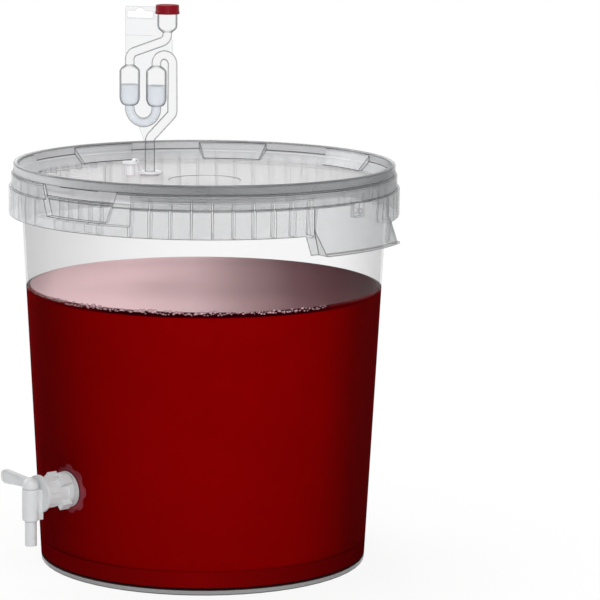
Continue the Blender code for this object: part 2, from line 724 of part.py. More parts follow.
# A bulb's stations between two heights, round at both ends
def bulb(u, start, end):
    way = 1 if end > start else -1
    swell = BULB_RADIUS - TUBE_RADIUS
    rise_shares = [(0, 0), (0.18, 0.45), (0.5, 0.83), (1, 1)]
    first = [(u, start + way * BULB_SHOULDER * a, TUBE_RADIUS + swell * s) for a, s in rise_shares]
    last = [(u, end - way * BULB_SHOULDER * a, TUBE_RADIUS + swell * s) for a, s in reversed(rise_shares)]
    return first + last


def left_bulb_u():
    return right_bulb_u() - BULB_SPACING


def right_bulb_u():
    return RISER_OFFSET - 2 * ARCH_RADIUS


def bulb_span():
    return tip_z + BULB_START, tip_z + BULB_START + BULB_LENGTH


# Left bulb, U-bend and right bulb, between two heights in the bulbs
def trap_stations():
    low, high = bulb_span()
    left = left_bulb_u()
    right = right_bulb_u()
    half = BULB_SPACING / 2
    bottom = low - BULB_NECK - half
    corner_left = (left, bottom)
    corner_right = (right, bottom)
    turn = bend((left, low), corner_left, corner_right, half, TUBE_RADIUS)
    turn += bend(corner_left, corner_right, (right, low), half, TUBE_RADIUS)[1:]
    return bulb(left, high, low) + turn + bulb(right, low, high)


def cup_rim():
    return tip_z + AIRLOCK_HEIGHT - CUP_DROP - CAP_WALL / 2


def airlock_stations():
    high = bulb_span()[1]
    left = left_bulb_u()
    right = right_bulb_u()
    rim = cup_rim()
    neck = rim - CUP_HEIGHT
    first = (CUP_OFFSET, tip_z + SWAN_CORNER)
    second = (left, tip_z + SWAN_CORNER - SWAN_FALL)
    narrow = CUP_RADIUS - TUBE_RADIUS
    bowl_shares = [(1, 1), (0.5, 0.88), (0.22, 0.62), (0.05, 0.3)]
    route = [(CUP_OFFSET, rim, CUP_RADIUS)]
    route += [(CUP_OFFSET, neck + CUP_BOWL * a, TUBE_RADIUS + narrow * s) for a, s in bowl_shares]
    route += [(CUP_OFFSET, neck - CUP_NECK, TUBE_RADIUS)]
    route += bend((CUP_OFFSET, neck), first, second, BEND_RADIUS, TUBE_RADIUS)
    route += bend(first, second, (left, high), BEND_RADIUS, TUBE_RADIUS)
    route += trap_stations()
    crown = tip_z + ARCH_CROWN
    arch = bend((right, high), (right, crown), (RISER_OFFSET, crown), ARCH_RADIUS, TUBE_RADIUS)
    arch += bend((right, crown), (RISER_OFFSET, crown), (RISER_OFFSET, high), ARCH_RADIUS, TUBE_RADIUS)[1:]
    route += arch
    riser = (RISER_OFFSET, tip_z + RISER_START)
    elbow = (0, tip_z + STEM_LENGTH)
    route += bend((RISER_OFFSET, high), riser, elbow, BEND_RADIUS, STEM_RADIUS)
    route += bend(riser, elbow, (0, tip_z), BEND_RADIUS, STEM_RADIUS)
    route += [(0, tip_z + TIP_TAPER, STEM_RADIUS), (0, tip_z, TIP_RADIUS)]
    return route


# The same route inside the wall, longer at both ends so that it opens them
def bore_stations():
    inner = [(u, z, r - AIRLOCK_WALL) for u, z, r in airlock_stations()]
    u, z, r = inner[0]
    end_u, end_z, end_r = inner[-1]
    return [(u, z + OVERRUN, r)] + inner + [(end_u, end_z - OVERRUN, end_r)]


# Flat web that ties the tubes together, with a hanging slot at its top
def web_outline():
    left = left_bulb_u()
    low, high = bulb_span()
    cap_edge = CUP_OFFSET - cap_outer() - WEB_CAP_GAP
    under_cap = tip_z + AIRLOCK_HEIGHT - CAP_HEIGHT - WEB_CAP_GAP
    foot = tip_z + WEB_FOOT
    return [(-WEB_LEFT, tip_z + WEB_TOP), (cap_edge, tip_z + WEB_TOP), (cap_edge, under_cap),
            (CUP_OFFSET, under_cap), (CUP_OFFSET, cup_rim() - CUP_HEIGHT),
            (RISER_OFFSET, tip_z + SWAN_CORNER), (RISER_OFFSET, tip_z + RISER_START),
            (0, tip_z + STEM_LENGTH), (0, foot - STEM_RADIUS), (-STEM_RADIUS, foot),
            (left + BULB_SPACING / 4, low - BULB_SPACING / 2), (left, low), (left, high),
            (-WEB_LEFT, tip_z + SWAN_CORNER - SWAN_FALL)]


def slot_outline():
    left = -WEB_LEFT + WEB_RIM
    right = CUP_OFFSET - cap_outer() - WEB_CAP_GAP - WEB_SIDE_RAIL
    top = tip_z + WEB_TOP - SLOT_TOP_RAIL
    bottom = top - SLOT_HEIGHT
    round_off = SLOT_HEIGHT / 3
    middle = (left + right) / 2
    bump = [(middle + SLOT_BUMP_RADIUS * cos(a), top + SLOT_BUMP_RISE * sin(a))
            for a in [pi * k / SLOT_BUMP_STEPS for k in range(SLOT_BUMP_STEPS + 1)]]
    steps = SLOT_CORNER_STEPS
    return [*arc((left + round_off, bottom + round_off), round_off, 180, 270, steps),
            *arc((right - round_off, bottom + round_off), round_off, 270, 360, steps),
            *arc((right - round_off, top - round_off), round_off, 0, 90, steps), *bump,
            *arc((left + round_off, top - round_off), round_off, 90, 180, steps)]


def make_airlock(parent):
    airlock = pipe("airlock_body", airlock_stations(), AIRLOCK_SIDES)
    web = plate("web", web_outline(), WEB_THICKNESS)
    cut(web, plate("slot", slot_outline(), WEB_THICKNESS + OVERRUN))
    join(airlock, web)
    cut(airlock, pipe("bore", bore_stations(), AIRLOCK_SIDES))
    return dress(airlock, material("airlock_polystyrene", "dfe6ea", 0.08, 0.35), parent)


def cap_inner():
    return (CUP_RADIUS + CLEARANCE) / cos(pi / CAP_FACETS)


def cap_outer():
    return cap_inner() + CAP_WALL + CAP_SKIRT


def make_cap(parent):
    top = tip_z + AIRLOCK_HEIGHT
    bottom = top - CAP_HEIGHT
    ceiling = cup_rim() + CLEARANCE
    inner = cap_inner()
    outer = cap_outer()
    outline = [(0, top), (outer - CAP_SKIRT - CAP_CHAMFER, top), (outer - CAP_SKIRT, top - CAP_CHAMFER),
               (outer - CAP_SKIRT, bottom + CAP_SKIRT_HEIGHT), (outer, bottom + CAP_SKIRT_HEIGHT),
               (outer, bottom), (inner, bottom), (inner, ceiling), (0, ceiling)]
    cap = turned("airlock_cap", outline, CAP_FACETS)
    cap.location.x = CUP_OFFSET
    return dress(cap, material("cap_plastic", "b81830", 0.35), parent)


def make_water(parent):
    low, high = bulb_span()
    level = low + (high - low) * WATER_LEVEL_SHARE
    gap = AIRLOCK_WALL + WATER_GAP
    wet = [(u, z, r - gap) for u, z, r in trap_stations() if z < level]
    full = BULB_RADIUS - gap
    route = [(left_bulb_u(), level, full)] + wet + [(right_bulb_u(), level, full)]
    water = pipe("airlock_water", route, AIRLOCK_SIDES)
    return dress(water, material("airlock_water", "b9d8e6", 0.05, 0.6), parent)


# Tap, with its own X axis pointing out of the bucket and its origin on the spout's axis

def about_x(piece):
    piece.data.transform(Matrix.Rotation(pi / 2, 4, "Y"))
    return piece


# Faces of the collar and of the nut, measured from the spout's axis
def collar_back():
    lean = WASHER_RADIUS * WALL_SLOPE
    return -TAP_REACH + CLEARANCE + lean + WASHER_THICKNESS + CLEARANCE


# How far the wall's inside lies behind the tap hole's middle at the washer's edge
def nut_front():
    sag = WASHER_RADIUS ** 2 / 2 / inner_radius(TAP_HEIGHT)
    lean = WASHER_RADIUS * WALL_SLOPE
    return -TAP_REACH - WALL - CLEARANCE - sag - lean - WASHER_STEP - CLEARANCE


def tail_end():
    return collar_back() - THREAD_LENGTH


def make_tap_body(parent):
    disc_front = -HOUSING_RADIUS
    disc_back = disc_front - DISC_THICKNESS
    back = collar_back()
    front = back + COLLAR_THICKNESS
    tail = tail_end()
    outline = [(0, disc_front), (DISC_RADIUS - HOUSING_CHAMFER, disc_front),
               (DISC_RADIUS, disc_front - HOUSING_CHAMFER), (DISC_RADIUS, disc_back),
               (BARREL_RADIUS, disc_back), (BARREL_RADIUS, front), (COLLAR_RADIUS, front),
               (COLLAR_RADIUS, back), (THREAD_RADIUS, back), (THREAD_RADIUS, tail + TAIL_CHAMFER),
               (THREAD_RADIUS - TAIL_CHAMFER, tail), (0, tail)]
    body = about_x(turned("tap_body", outline, TAP_FACETS))
    for k in range(LUG_COUNT):
        lug = box("lug", (front - COLLAR_THICKNESS / 2, -LUG_WIDTH / 2, BARREL_RADIUS - DISC_THICKNESS),
                  (front + LUG_LENGTH, LUG_WIDTH / 2, LUG_RADIUS))
        lug.data.transform(Matrix.Rotation(2 * pi * (k + 0.5) / LUG_COUNT, 4, "X"))
        join(body, lug)
    join(body, box("fairing", (disc_front - DISC_THICKNESS / 2, -HOUSING_FACE_WIDTH / 2,
                               HOUSING_CHAMFER - HOUSING_BELOW),
                   (0, HOUSING_FACE_WIDTH / 2, HOUSING_ABOVE - HOUSING_CHAMFER)))
    shell = turned("housing", [(0, HOUSING_ABOVE), (HOUSING_RADIUS - HOUSING_CHAMFER, HOUSING_ABOVE),
                               (HOUSING_RADIUS, HOUSING_ABOVE - HOUSING_CHAMFER),
                               (HOUSING_RADIUS, HOUSING_CHAMFER - HOUSING_BELOW),
                               (HOUSING_RADIUS - HOUSING_CHAMFER, -HOUSING_BELOW), (0, -HOUSING_BELOW)],
                   TAP_FACETS)
    join(body, shell)
    cut(body, cylinder("barrel_bore", BARREL_BORE, (tail - OVERRUN, 0, 0), (disc_back, 0, 0)))
    cut(body, cylinder("cross_bore", CROSS_BORE, (disc_back - OVERRUN, 0, 0), (0, 0, 0)))
    cut(body, cylinder("core_bore", CORE_RADIUS + CLEARANCE, (0, 0, -HOUSING_BELOW - OVERRUN),
                       (0, 0, HOUSING_ABOVE + OVERRUN)))
    return dress(body, material("tap_polypropylene", "e3e5e6", 0.4), parent)


# Side view of the lever: narrow at the core and round at its free end
def lever_outline(inset):
    mid = HOUSING_ABOVE + CLEARANCE + LEVER_ROOT_HEIGHT / 2
    tip = LEVER_LENGTH - LEVER_TIP_RADIUS
    half = LEVER_ROOT_HEIGHT / 2 - inset
    neck = HOUSING_RADIUS + CLEARANCE + 2 * inset
    lean = LEVER_TIP_LEAN
    around = arc((tip, mid), LEVER_TIP_RADIUS - inset, 90 + lean, -90 - lean, LEVER_TIP_STEPS)
    root = [] if inset else [(0, mid - half), (0, mid + half)]
    return [*root, (neck, mid + half), *around, (neck, mid - half)]


# Core with its dome, lever and spout in one moulding, drawn closed: the lever lies along the wall, and the
# side port looks the other way
def make_tap_core(parent):
    seat = HOUSING_ABOVE + CLEARANCE
    spout_end = SPOUT_BOTTOM - TAP_HEIGHT
    skirt_top = seat + DOME_SKIRT
    dome = [(HOUSING_RADIUS * cos(a), skirt_top + (DOME_HEIGHT - DOME_SKIRT) * sin(a))
            for a in [pi / 2 * k / DOME_STEPS for k in range(DOME_STEPS + 1)]]
    outline = [(0, dome[-1][1]), *reversed(dome[:-1]), (HOUSING_RADIUS, seat), (CORE_RADIUS, seat),
               (CORE_RADIUS, -HOUSING_BELOW), (SPOUT_RADIUS, -HOUSING_BELOW - CLEARANCE),
               (SPOUT_RADIUS, spout_end + SPOUT_CHAMFER), (SPOUT_RADIUS - SPOUT_CHAMFER, spout_end),
               (0, spout_end)]
    core = turned("tap_core", outline, TAP_FACETS)
    lever = plate("lever", lever_outline(0), LEVER_THICKNESS)
    for side in (1, -1):
        recess = plate("lever_recess", lever_outline(LEVER_FRAME), 2 * LEVER_RECESS)
        recess.data.transform(Matrix.Translation((0, side * LEVER_THICKNESS / 2, 0)))
        cut(lever, recess)
    lever.data.transform(Matrix.Rotation(-pi / 2, 4, "Z"))
    join(core, lever)
    cut(core, cylinder("spout_bore", SPOUT_BORE, (0, 0, spout_end - OVERRUN), (0, 0, CROSS_BORE)))
    cut(core, cylinder("side_port", SPOUT_BORE, (0, 0, 0), (0, CORE_RADIUS + OVERRUN, 0)))
    return dress(core, material("tap_core_polypropylene", "eceeef", 0.38), parent)


# Solid of all that lies inside a given offset from the wall's outside, for trimming what seats on the wall
def wall_envelope(name, offset):
    low = TAP_HEIGHT - 2 * WASHER_RADIUS
    high = TAP_HEIGHT + 2 * WASHER_RADIUS
    made = turned(name, [(0, high), (wall_radius(high) + offset, high), (wall_radius(low) + offset, low),
                         (0, low)])
    made.data.transform(Matrix.Rotation(-TAP_AZIMUTH, 4, "Z"))
    made.data.transform(Matrix.Translation((-spout_axis, 0, -TAP_HEIGHT)))
    return made


# Soft washers take the wall's shape on the side that presses on it
def make_outer_washer(parent):
    front = collar_back() - CLEARANCE
    back = -TAP_REACH - WASHER_STEP * 2
    bore = THREAD_RADIUS + CLEARANCE
    washer = about_x(turned("tap_washer_outer", [(bore, front), (WASHER_RADIUS - WASHER_STEP, front),
                                                 (WASHER_RADIUS - WASHER_STEP, front - WASHER_STEP),
                                                 (WASHER_RADIUS, front - WASHER_STEP), (WASHER_RADIUS, back),
                                                 (bore, back)], TAP_FACETS))
    cut(washer, wall_envelope("wall_outside", CLEARANCE))
    return dress(washer, material("washer_silicone", "dde3e4", 0.3, 0.6), parent)


def make_inner_washer(parent):
    back = nut_front() + CLEARANCE
    front = -TAP_REACH
    bore = THREAD_RADIUS + CLEARANCE
    washer = about_x(turned("tap_washer_inner", [(bore, front), (WASHER_RADIUS, front), (WASHER_RADIUS, back),
                                                 (bore, back)], TAP_FACETS))
    combine(washer, wall_envelope("wall_inside", -WALL - CLEARANCE), "INTERSECT")
    return dress(washer, material("inner_washer_silicone", "dde3e4", 0.3, 0.6), parent)


def make_nut(parent):
    front = nut_front()
    flange_back = front - NUT_FLANGE
    back = flange_back - NUT_THICKNESS
    bore = THREAD_RADIUS + CLEARANCE
    nut = about_x(turned("tap_nut", [(bore, front), (NUT_FLANGE_RADIUS, front),
                                     (NUT_FLANGE_RADIUS, flange_back - CLEARANCE),
                                     (bore, flange_back - CLEARANCE)], TAP_FACETS))
    shape = []
    for k in range(NUT_LOBES):
        lobe = 2 * pi * k / NUT_LOBES
        valley = lobe + pi / NUT_LOBES
        shape += [(NUT_LOBE_RADIUS, lobe - NUT_LOBE_HALF), (NUT_LOBE_RADIUS, lobe + NUT_LOBE_HALF),
                  (NUT_VALLEY_RADIUS, valley - NUT_VALLEY_HALF),
                  (NUT_VALLEY_RADIUS, valley + NUT_VALLEY_HALF)]
    lobes = plate("lobes", [(r * cos(a), r * sin(a)) for r, a in shape], NUT_THICKNESS)
    lobes.data.transform(Matrix.Rotation(pi / 2, 4, "Z"))
    lobes.data.transform(Matrix.Translation(((back + flange_back) / 2, 0, 0)))
    cut(lobes, cylinder("nut_bore", bore, (back - OVERRUN, 0, 0), (flange_back + OVERRUN, 0, 0)))
    join(nut, lobes)
    return dress(nut, material("nut_polypropylene", "e8e9eb", 0.4), parent)


# Wine: the inside of the bucket up to its level, with a pocket round the tap's nut
def make_wine(parent):
    gap = CLEARANCE
    fillet = FLOOR_FILLET - gap
    fillet_z = FLOOR_TOP + FLOOR_FILLET
    bottom = FLOOR_TOP + gap
    corner = arc((inner_radius(fillet_z) - FLOOR_FILLET, fillet_z), fillet, 0, -90, FILLET_STEPS)
    outline = [(0, WINE_LEVEL), (inner_radius(WINE_LEVEL) - gap, WINE_LEVEL), *corner,
               (BASE_PANEL_RADIUS + BASE_PANEL_RISE, bottom), (BASE_PANEL_RADIUS, bottom + BASE_PANEL_RISE),
               (0, bottom + BASE_PANEL_RISE)]
    wine = turned("wine", outline)
    pocket = cylinder("nut_pocket", NUT_LOBE_RADIUS + CLEARANCE, (tail_end() - CLEARANCE, 0, 0), (0, 0, 0))
    pocket.data.transform(Matrix.Translation((spout_axis, 0, TAP_HEIGHT)))
    pocket.data.transform(Matrix.Rotation(TAP_AZIMUTH, 4, "Z"))
    cut(wine, pocket)
    return dress(wine, material("red_wine", "6a0004", 0.1), parent)


def build():
    for old in list(bpy.data.objects):
        bpy.data.objects.remove(old, do_unlink=True)
    bucket_axis = empty("bucket_axis", None, (0, back_shift, 0))
    make_bucket(bucket_axis)
    make_wine(bucket_axis)
    make_lid(bucket_axis)

    bung_axis = empty("bung_axis", bucket_axis, (-BUNG_OFFSET, 0, 0))
    make_bung(bung_axis)
    make_stopper(bung_axis)
    airlock_plane = empty("airlock_plane", bung_axis, (0, 0, 0), AIRLOCK_AZIMUTH)
    make_airlock(airlock_plane)
    make_cap(airlock_plane)
    make_water(airlock_plane)

    place = (spout_axis * cos(TAP_AZIMUTH), spout_axis * sin(TAP_AZIMUTH), TAP_HEIGHT)
    tap_axis = empty("tap_axis", bucket_axis, place, TAP_AZIMUTH)
    make_tap_body(tap_axis)
    make_tap_core(tap_axis)
    make_outer_washer(tap_axis)
    make_inner_washer(tap_axis)
    make_nut(tap_axis)


build()
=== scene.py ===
# Fermentation bucket with its lid, bung, S-bend airlock, lever tap and red wine, dressed round the packed
# CAD model. Metres, +Z up; the pieces' dictionaries are in millimetres, those of the room, stage, lamps and
# camera in metres. The bucket's own axis stands a little behind the origin, and most pieces are modelled on
# their own axis first and then put in place.
from math import cos, pi, radians, sin, sqrt, tan
from random import Random

import bmesh
import bpy
from mathutils import Matrix, Vector


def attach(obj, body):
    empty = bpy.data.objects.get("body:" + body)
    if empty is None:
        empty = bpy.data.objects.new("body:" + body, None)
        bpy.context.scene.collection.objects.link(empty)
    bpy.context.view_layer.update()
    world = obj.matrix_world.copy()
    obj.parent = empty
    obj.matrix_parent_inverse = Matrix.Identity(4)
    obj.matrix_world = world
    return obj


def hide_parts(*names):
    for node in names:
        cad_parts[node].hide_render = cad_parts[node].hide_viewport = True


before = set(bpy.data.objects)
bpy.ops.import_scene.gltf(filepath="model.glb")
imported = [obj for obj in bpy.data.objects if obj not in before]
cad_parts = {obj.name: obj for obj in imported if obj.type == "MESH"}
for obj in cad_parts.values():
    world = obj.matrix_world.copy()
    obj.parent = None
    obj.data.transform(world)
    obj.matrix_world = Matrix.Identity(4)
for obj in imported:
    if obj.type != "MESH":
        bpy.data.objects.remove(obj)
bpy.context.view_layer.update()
mm = 0.001
sharpAngle = 32      # degrees between two faces, from which on their edge is rounded
tubeAngle = 40       # the same for the shading of tubes and bubbles, which are never rounded
flatAngle = 0.5      # the same, up to which two faces are cleared into one
meeting = 0.002      # millimetres between two drawn points, up to which they are one
levelFace = 0.99     # how far up or down a face's normal points, from which on the face counts as level
bucketAxis = Vector((0, 10.434, 0)) * mm
print("frame loaded:", len(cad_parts), "nodes")


# A move by millimetres
def shift(x, y=0, z=0):
    return Matrix.Translation(Vector((x, y, z)) * mm)


# Selects one object alone and makes it the one that is worked on
def only(obj):
    if bpy.context.object and bpy.context.object.mode != "OBJECT":
        bpy.ops.object.mode_set(mode="OBJECT")
    bpy.ops.object.select_all(action="DESELECT")
    obj.select_set(True)
    bpy.context.view_layer.objects.active = obj
    return obj


def enterEdit(obj):
    only(obj)
    bpy.ops.object.mode_set(mode="EDIT")
    bpy.ops.mesh.select_mode(type="VERT")
    bpy.ops.mesh.select_all(action="SELECT")


def leaveEdit():
    bpy.ops.object.mode_set(mode="OBJECT")


# Selects the faces that pass a test, in edit mode
def pickFaces(obj, test):
    bpy.ops.mesh.select_mode(type="FACE")
    bpy.ops.mesh.select_all(action="DESELECT")
    shape = bmesh.from_edit_mesh(obj.data)
    for face in shape.faces:
        face.select_set(test(face))
    bmesh.update_edit_mesh(obj.data)


# Joins the points that meet, turns the faces outwards and leaves edit mode
def closeSkin():
    bpy.ops.mesh.select_all(action="SELECT")
    bpy.ops.mesh.remove_doubles(threshold=meeting * mm)
    bpy.ops.mesh.normals_make_consistent(inside=False)
    leaveEdit()


# Adds a primitive under a name
def begin(name, operator, **settings):
    bpy.ops.object.select_all(action="DESELECT")
    operator(**settings)
    obj = bpy.context.object
    obj.name = obj.data.name = name
    return obj


# Draws a line of (x, z) points in the XZ plane by pulling one point along, and leaves it in edit mode
def drawOutline(name, outline):
    obj = begin(name, bpy.ops.mesh.primitive_plane_add, size=mm)
    enterEdit(obj)
    bpy.ops.mesh.merge(type="CENTER")
    x, z = outline[0]
    bpy.ops.transform.translate(value=(x * mm, 0, z * mm))
    for nextX, nextZ in outline[1:]:
        bpy.ops.mesh.extrude_region_move(
            TRANSFORM_OT_translate={"value": ((nextX - x) * mm, 0, (nextZ - z) * mm)})
        x, z = nextX, nextZ
    bpy.ops.mesh.select_all(action="SELECT")
    return obj


# Spins an outline of (radius, height) round the Z axis. An outline that doesn't start and end on the axis is
# a closed ring.
def turnOutline(name, outline, steps):
    closed = outline[0][0] > 0 or outline[-1][0] > 0
    obj = drawOutline(name, [*outline, outline[0]] if closed else outline)
    bpy.ops.mesh.spin(steps=steps, angle=2 * pi, center=(0, 0, 0), axis=(0, 0, 1))
    closeSkin()
    return obj


# A round peg between two heights, to carve a bore with
def peg(name, radius, start, end, steps):
    return turnOutline(name, [(0, start), (radius, start), (radius, end), (0, end)], steps)


# Fills a flat outline in the XZ plane and pulls it to a thickness, centred on that plane
def cutPlate(name, outline, thickness):
    obj = drawOutline(name, [*outline, outline[0]])
    bpy.ops.mesh.remove_doubles(threshold=meeting * mm)
    bpy.ops.mesh.edge_face_add()
    bpy.ops.transform.translate(value=(0, -thickness / 2 * mm, 0))
    bpy.ops.mesh.extrude_region_move(TRANSFORM_OT_translate={"value": (0, thickness * mm, 0)})
    closeSkin()
    return obj


# A block between two corners
def block(name, low, high):
    obj = begin(name, bpy.ops.mesh.primitive_cube_add, size=1)
    obj.scale = (Vector(high) - Vector(low)) * mm
    obj.location = (Vector(high) + Vector(low)) / 2 * mm
    return settle(obj)


# Puts a piece's turn, place and size into its mesh, so that its object sits at the origin
def settle(obj, place=None):
    only(obj)
    if place is not None:
        obj.matrix_world = place @ obj.matrix_world
    bpy.ops.object.transform_apply(location=True, rotation=True, scale=True)
    return obj


def applyModifier(obj, kind, **settings):
    only(obj)
    modifier = obj.modifiers.new(kind.lower(), kind)
    for key, value in settings.items():
        setattr(modifier, key, value)
    bpy.ops.object.modifier_apply(modifier=modifier.name)
    return obj


# Gives a piece its materials, with the first one on all its faces
def dress(obj, *materials):
    obj.data.materials.clear()
    for material in materials:
        obj.data.materials.append(material)


# Gives a material slot to the faces that pass a test
def giveSlot(obj, slot, test):
    enterEdit(obj)
    pickFaces(obj, test)
    obj.active_material_index = slot
    bpy.ops.object.material_slot_assign()
    leaveEdit()


def axisDistance(vertex):
    return (Vector((vertex.co.x, vertex.co.y)) - bucketAxis.xy).length / mm


def combine(obj, other, operation):
    applyModifier(obj, "BOOLEAN", object=other, operation=operation, solver="MANIFOLD")
    bpy.data.objects.remove(other, do_unlink=True)
    return obj


def weld(obj, other):
    return combine(obj, other, "UNION")


def carve(obj, other):
    return combine(obj, other, "DIFFERENCE")


# Marks the edges to be rounded: the sharp ones, but not the two sides of a level strip that is narrower than
# the rounding needs, where the rounded faces would run through each other
def weighEdges(obj, room):
    shape = bmesh.from_edit_mesh(obj.data)
    weights = shape.edges.layers.float.new("bevel_weight_edge")
    sharp = {edge for edge in shape.edges
             if edge.is_manifold and edge.calc_face_angle() > radians(sharpAngle)}
    for edge in sharp:
        middle = (edge.verts[0].co + edge.verts[1].co) / 2
        beside = {other for face in edge.link_faces if abs(face.normal.z) > levelFace for other in face.edges
                  if other in sharp and not set(other.verts) & set(edge.verts)}
        edge[weights] = not any(fromEdge(middle, other) < room * mm for other in beside)
    bmesh.update_edit_mesh(obj.data)


# How far a spot lies from an edge
def fromEdge(spot, edge):
    start, end = edge.verts[0].co, edge.verts[1].co
    share = (spot - start).dot(end - start) / (end - start).length_squared
    return (start.lerp(end, min(max(share, 0), 1)) - spot).length


# Rounds the sharp edges and shades the rest smooth. Level faces are first cut along upright seams, given as a
# place and a turn in degrees, so that none of them runs round a hole or far round the rim. The cuts are heights
# at which the piece changes its material. With room, in millimetres, the sides of narrower level strips stay
# sharp.
def roundEdges(obj, width, segments=2, edgeSlot=-1, seams=(), cuts=(), room=0):
    enterEdit(obj)
    for spot, turn in seams:
        pickFaces(obj, lambda face: abs(face.normal.z) > levelFace)
        bpy.ops.mesh.select_mode(type="EDGE")
        bpy.ops.mesh.bisect(plane_co=spot, plane_no=(cos(radians(turn)), sin(radians(turn)), 0))
        bpy.ops.mesh.mark_seam()
    bpy.ops.mesh.select_mode(type="VERT")
    bpy.ops.mesh.select_all(action="SELECT")
    bpy.ops.mesh.dissolve_limited(angle_limit=radians(flatAngle), delimit={"SEAM"})
    for height in cuts:
        bpy.ops.mesh.select_all(action="SELECT")
        bpy.ops.mesh.bisect(plane_co=(0, 0, height * mm), plane_no=(0, 0, 1))
    if room:
        weighEdges(obj, room)
    leaveEdit()
    applyModifier(obj, "BEVEL", width=width * mm, segments=segments,
                  limit_method="WEIGHT" if room else "ANGLE", angle_limit=radians(sharpAngle),
                  use_clamp_overlap=False, material=edgeSlot)
    shade(obj)
    return applyModifier(obj, "WEIGHTED_NORMAL", keep_sharp=True)


def shade(obj, angle=sharpAngle):
    only(obj)
    bpy.ops.object.shade_smooth_by_angle(angle=radians(angle))
    return obj


# Joins loose parts into the first one without cutting them into each other
def gather(obj, others):
    only(obj)
    for other in others:
        other.select_set(True)
    bpy.ops.object.join()
    return obj


# A copy of a CAD node as one skin, with its flat areas cleared of loose triangles and its edges rounded. The
# rounded edges take the second material.
def roundedCopy(node, name, width, materials, seams, cuts=(), room=0):
    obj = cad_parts[node].copy()
    obj.data = obj.data.copy()
    for key in list(obj.keys()):
        del obj[key]
    obj.name = obj.data.name = name
    obj.parent = None
    bpy.context.scene.collection.objects.link(obj)
    dress(obj, *materials)
    enterEdit(obj)
    bpy.ops.mesh.remove_doubles(threshold=0.01 * mm)
    leaveEdit()
    return roundEdges(obj, width, edgeSlot=1, seams=seams, cuts=cuts, room=room)


# Points along an arc, from one angle in degrees to another
def arc(centre, radius, start, end, steps):
    angles = [radians(start + (end - start) * k / steps) for k in range(steps + 1)]
    return [(centre[0] + radius * cos(a), centre[1] + radius * sin(a)) for a in angles]


# A colour written as on a screen, as the linear one that the shaders take, darkened to a share
def linear(code, share=1.0):
    channels = [int(code[i:i + 2], 16) / 255 for i in (0, 2, 4)]
    bright = [c / 12.92 if c <= 0.04045 else ((c + 0.055) / 1.055) ** 2.4 for c in channels]
    return (*[c * share for c in bright], 1.0)


# Adds a node to a tree, with its plain settings, its socket values and what feeds its sockets
def add(tree, kind, settings=None, values=None, links=None):
    node = tree.nodes.new(kind)
    for key, value in (settings or {}).items():
        setattr(node, key, value)
    for key, value in (values or {}).items():
        node.inputs[key].default_value = value
    for key, source in (links or {}).items():
        tree.links.new(source, node.inputs[key])
    return node


def calculate(tree, operation, first, second):
    return add(tree, "ShaderNodeMath", {"operation": operation}, links={0: first, 1: second}).outputs[0]


# Turns the values from start to end into the values from low to high
def span(tree, value, start, end, low=0.0, high=1.0, kind="SMOOTHSTEP"):
    return add(tree, "ShaderNodeMapRange", {"interpolation_type": kind},
               {"From Min": start, "From Max": end, "To Min": low, "To Max": high},
               {"Value": value}).outputs["Result"]


def startMaterial(name, roughness, ior, gloss=0.5):
    made = bpy.data.materials.new(name)
    made.use_nodes = True
    tree = made.node_tree
    shader = tree.nodes["Principled BSDF"]
    shader.inputs["Roughness"].default_value = roughness
    shader.inputs["IOR"].default_value = ior
    shader.inputs["Specular IOR Level"].default_value = gloss
    return made, tree, shader, add(tree, "ShaderNodeTexCoord").outputs["Object"]


# A ramp of colours, given as (place, colour)
def stops(tree, source, colours):
    node = add(tree, "ShaderNodeValToRGB", links={"Fac": source})
    elements = node.color_ramp.elements
    while len(elements) < len(colours):
        elements.new(0.5)
    for element, (place, colour) in zip(elements, colours):
        element.position = place
        element.color = colour
    return node.outputs["Color"]


# Clouds of a size in millimetres, between a colour and a darker share of it
def clouds(tree, place, size, code, low, detail=3.0):
    noise = add(tree, "ShaderNodeTexNoise", values={"Scale": 1 / (size * mm), "Detail": detail},
                links={"Vector": place})
    return stops(tree, noise.outputs["Fac"], [(0.3, linear(code, low)), (0.7, linear(code))])


# Starts a material of a roughness and refractive index, whose colour is clouded like this
def startClouded(name, roughness, ior, size, code, low, gloss=0.5):
    made, tree, shader, place = startMaterial(name, roughness, ior, gloss)
    tree.links.new(clouds(tree, place, size, code, low), shader.inputs["Base Color"])
    return made, tree, shader, place


# Fine unevenness of a moulded face, as a bump of a height in millimetres
def ripple(tree, place, size, height, shader):
    noise = add(tree, "ShaderNodeTexNoise", values={"Scale": 1 / (size * mm), "Detail": 2.0},
                links={"Vector": place})
    bump = add(tree, "ShaderNodeBump", values={"Strength": 1.0, "Distance": height * mm},
               links={"Height": noise.outputs["Fac"]})
    tree.links.new(bump.outputs["Normal"], shader.inputs["Normal"])


# How much a clear plastic face hides, from looked at squarely to looked at along its surface, where the way
# through the wall is long
def seeThrough(tree, square, along, bend, start=0.0, end=1.0):
    facing = add(tree, "ShaderNodeLayerWeight", values={"Blend": 0.5}).outputs["Facing"]
    curve = add(tree, "ShaderNodeMath", {"operation": "POWER"}, {1: bend}, {0: facing}).outputs[0]
    return span(tree, curve, start, end, square, along, "SMOOTHSTEP" if start else "LINEAR")


# Height above the ground in millimetres turned into 0 below and 1 above
def between(tree, place, low, high):
    height = add(tree, "ShaderNodeSeparateXYZ", links={"Vector": place}).outputs["Z"]
    return span(tree, height, low * mm, high * mm)


paintedLightFrame = {"turn": -39.7, "width": 0.36, "farFrom": 0.35, "farTo": 0.7}


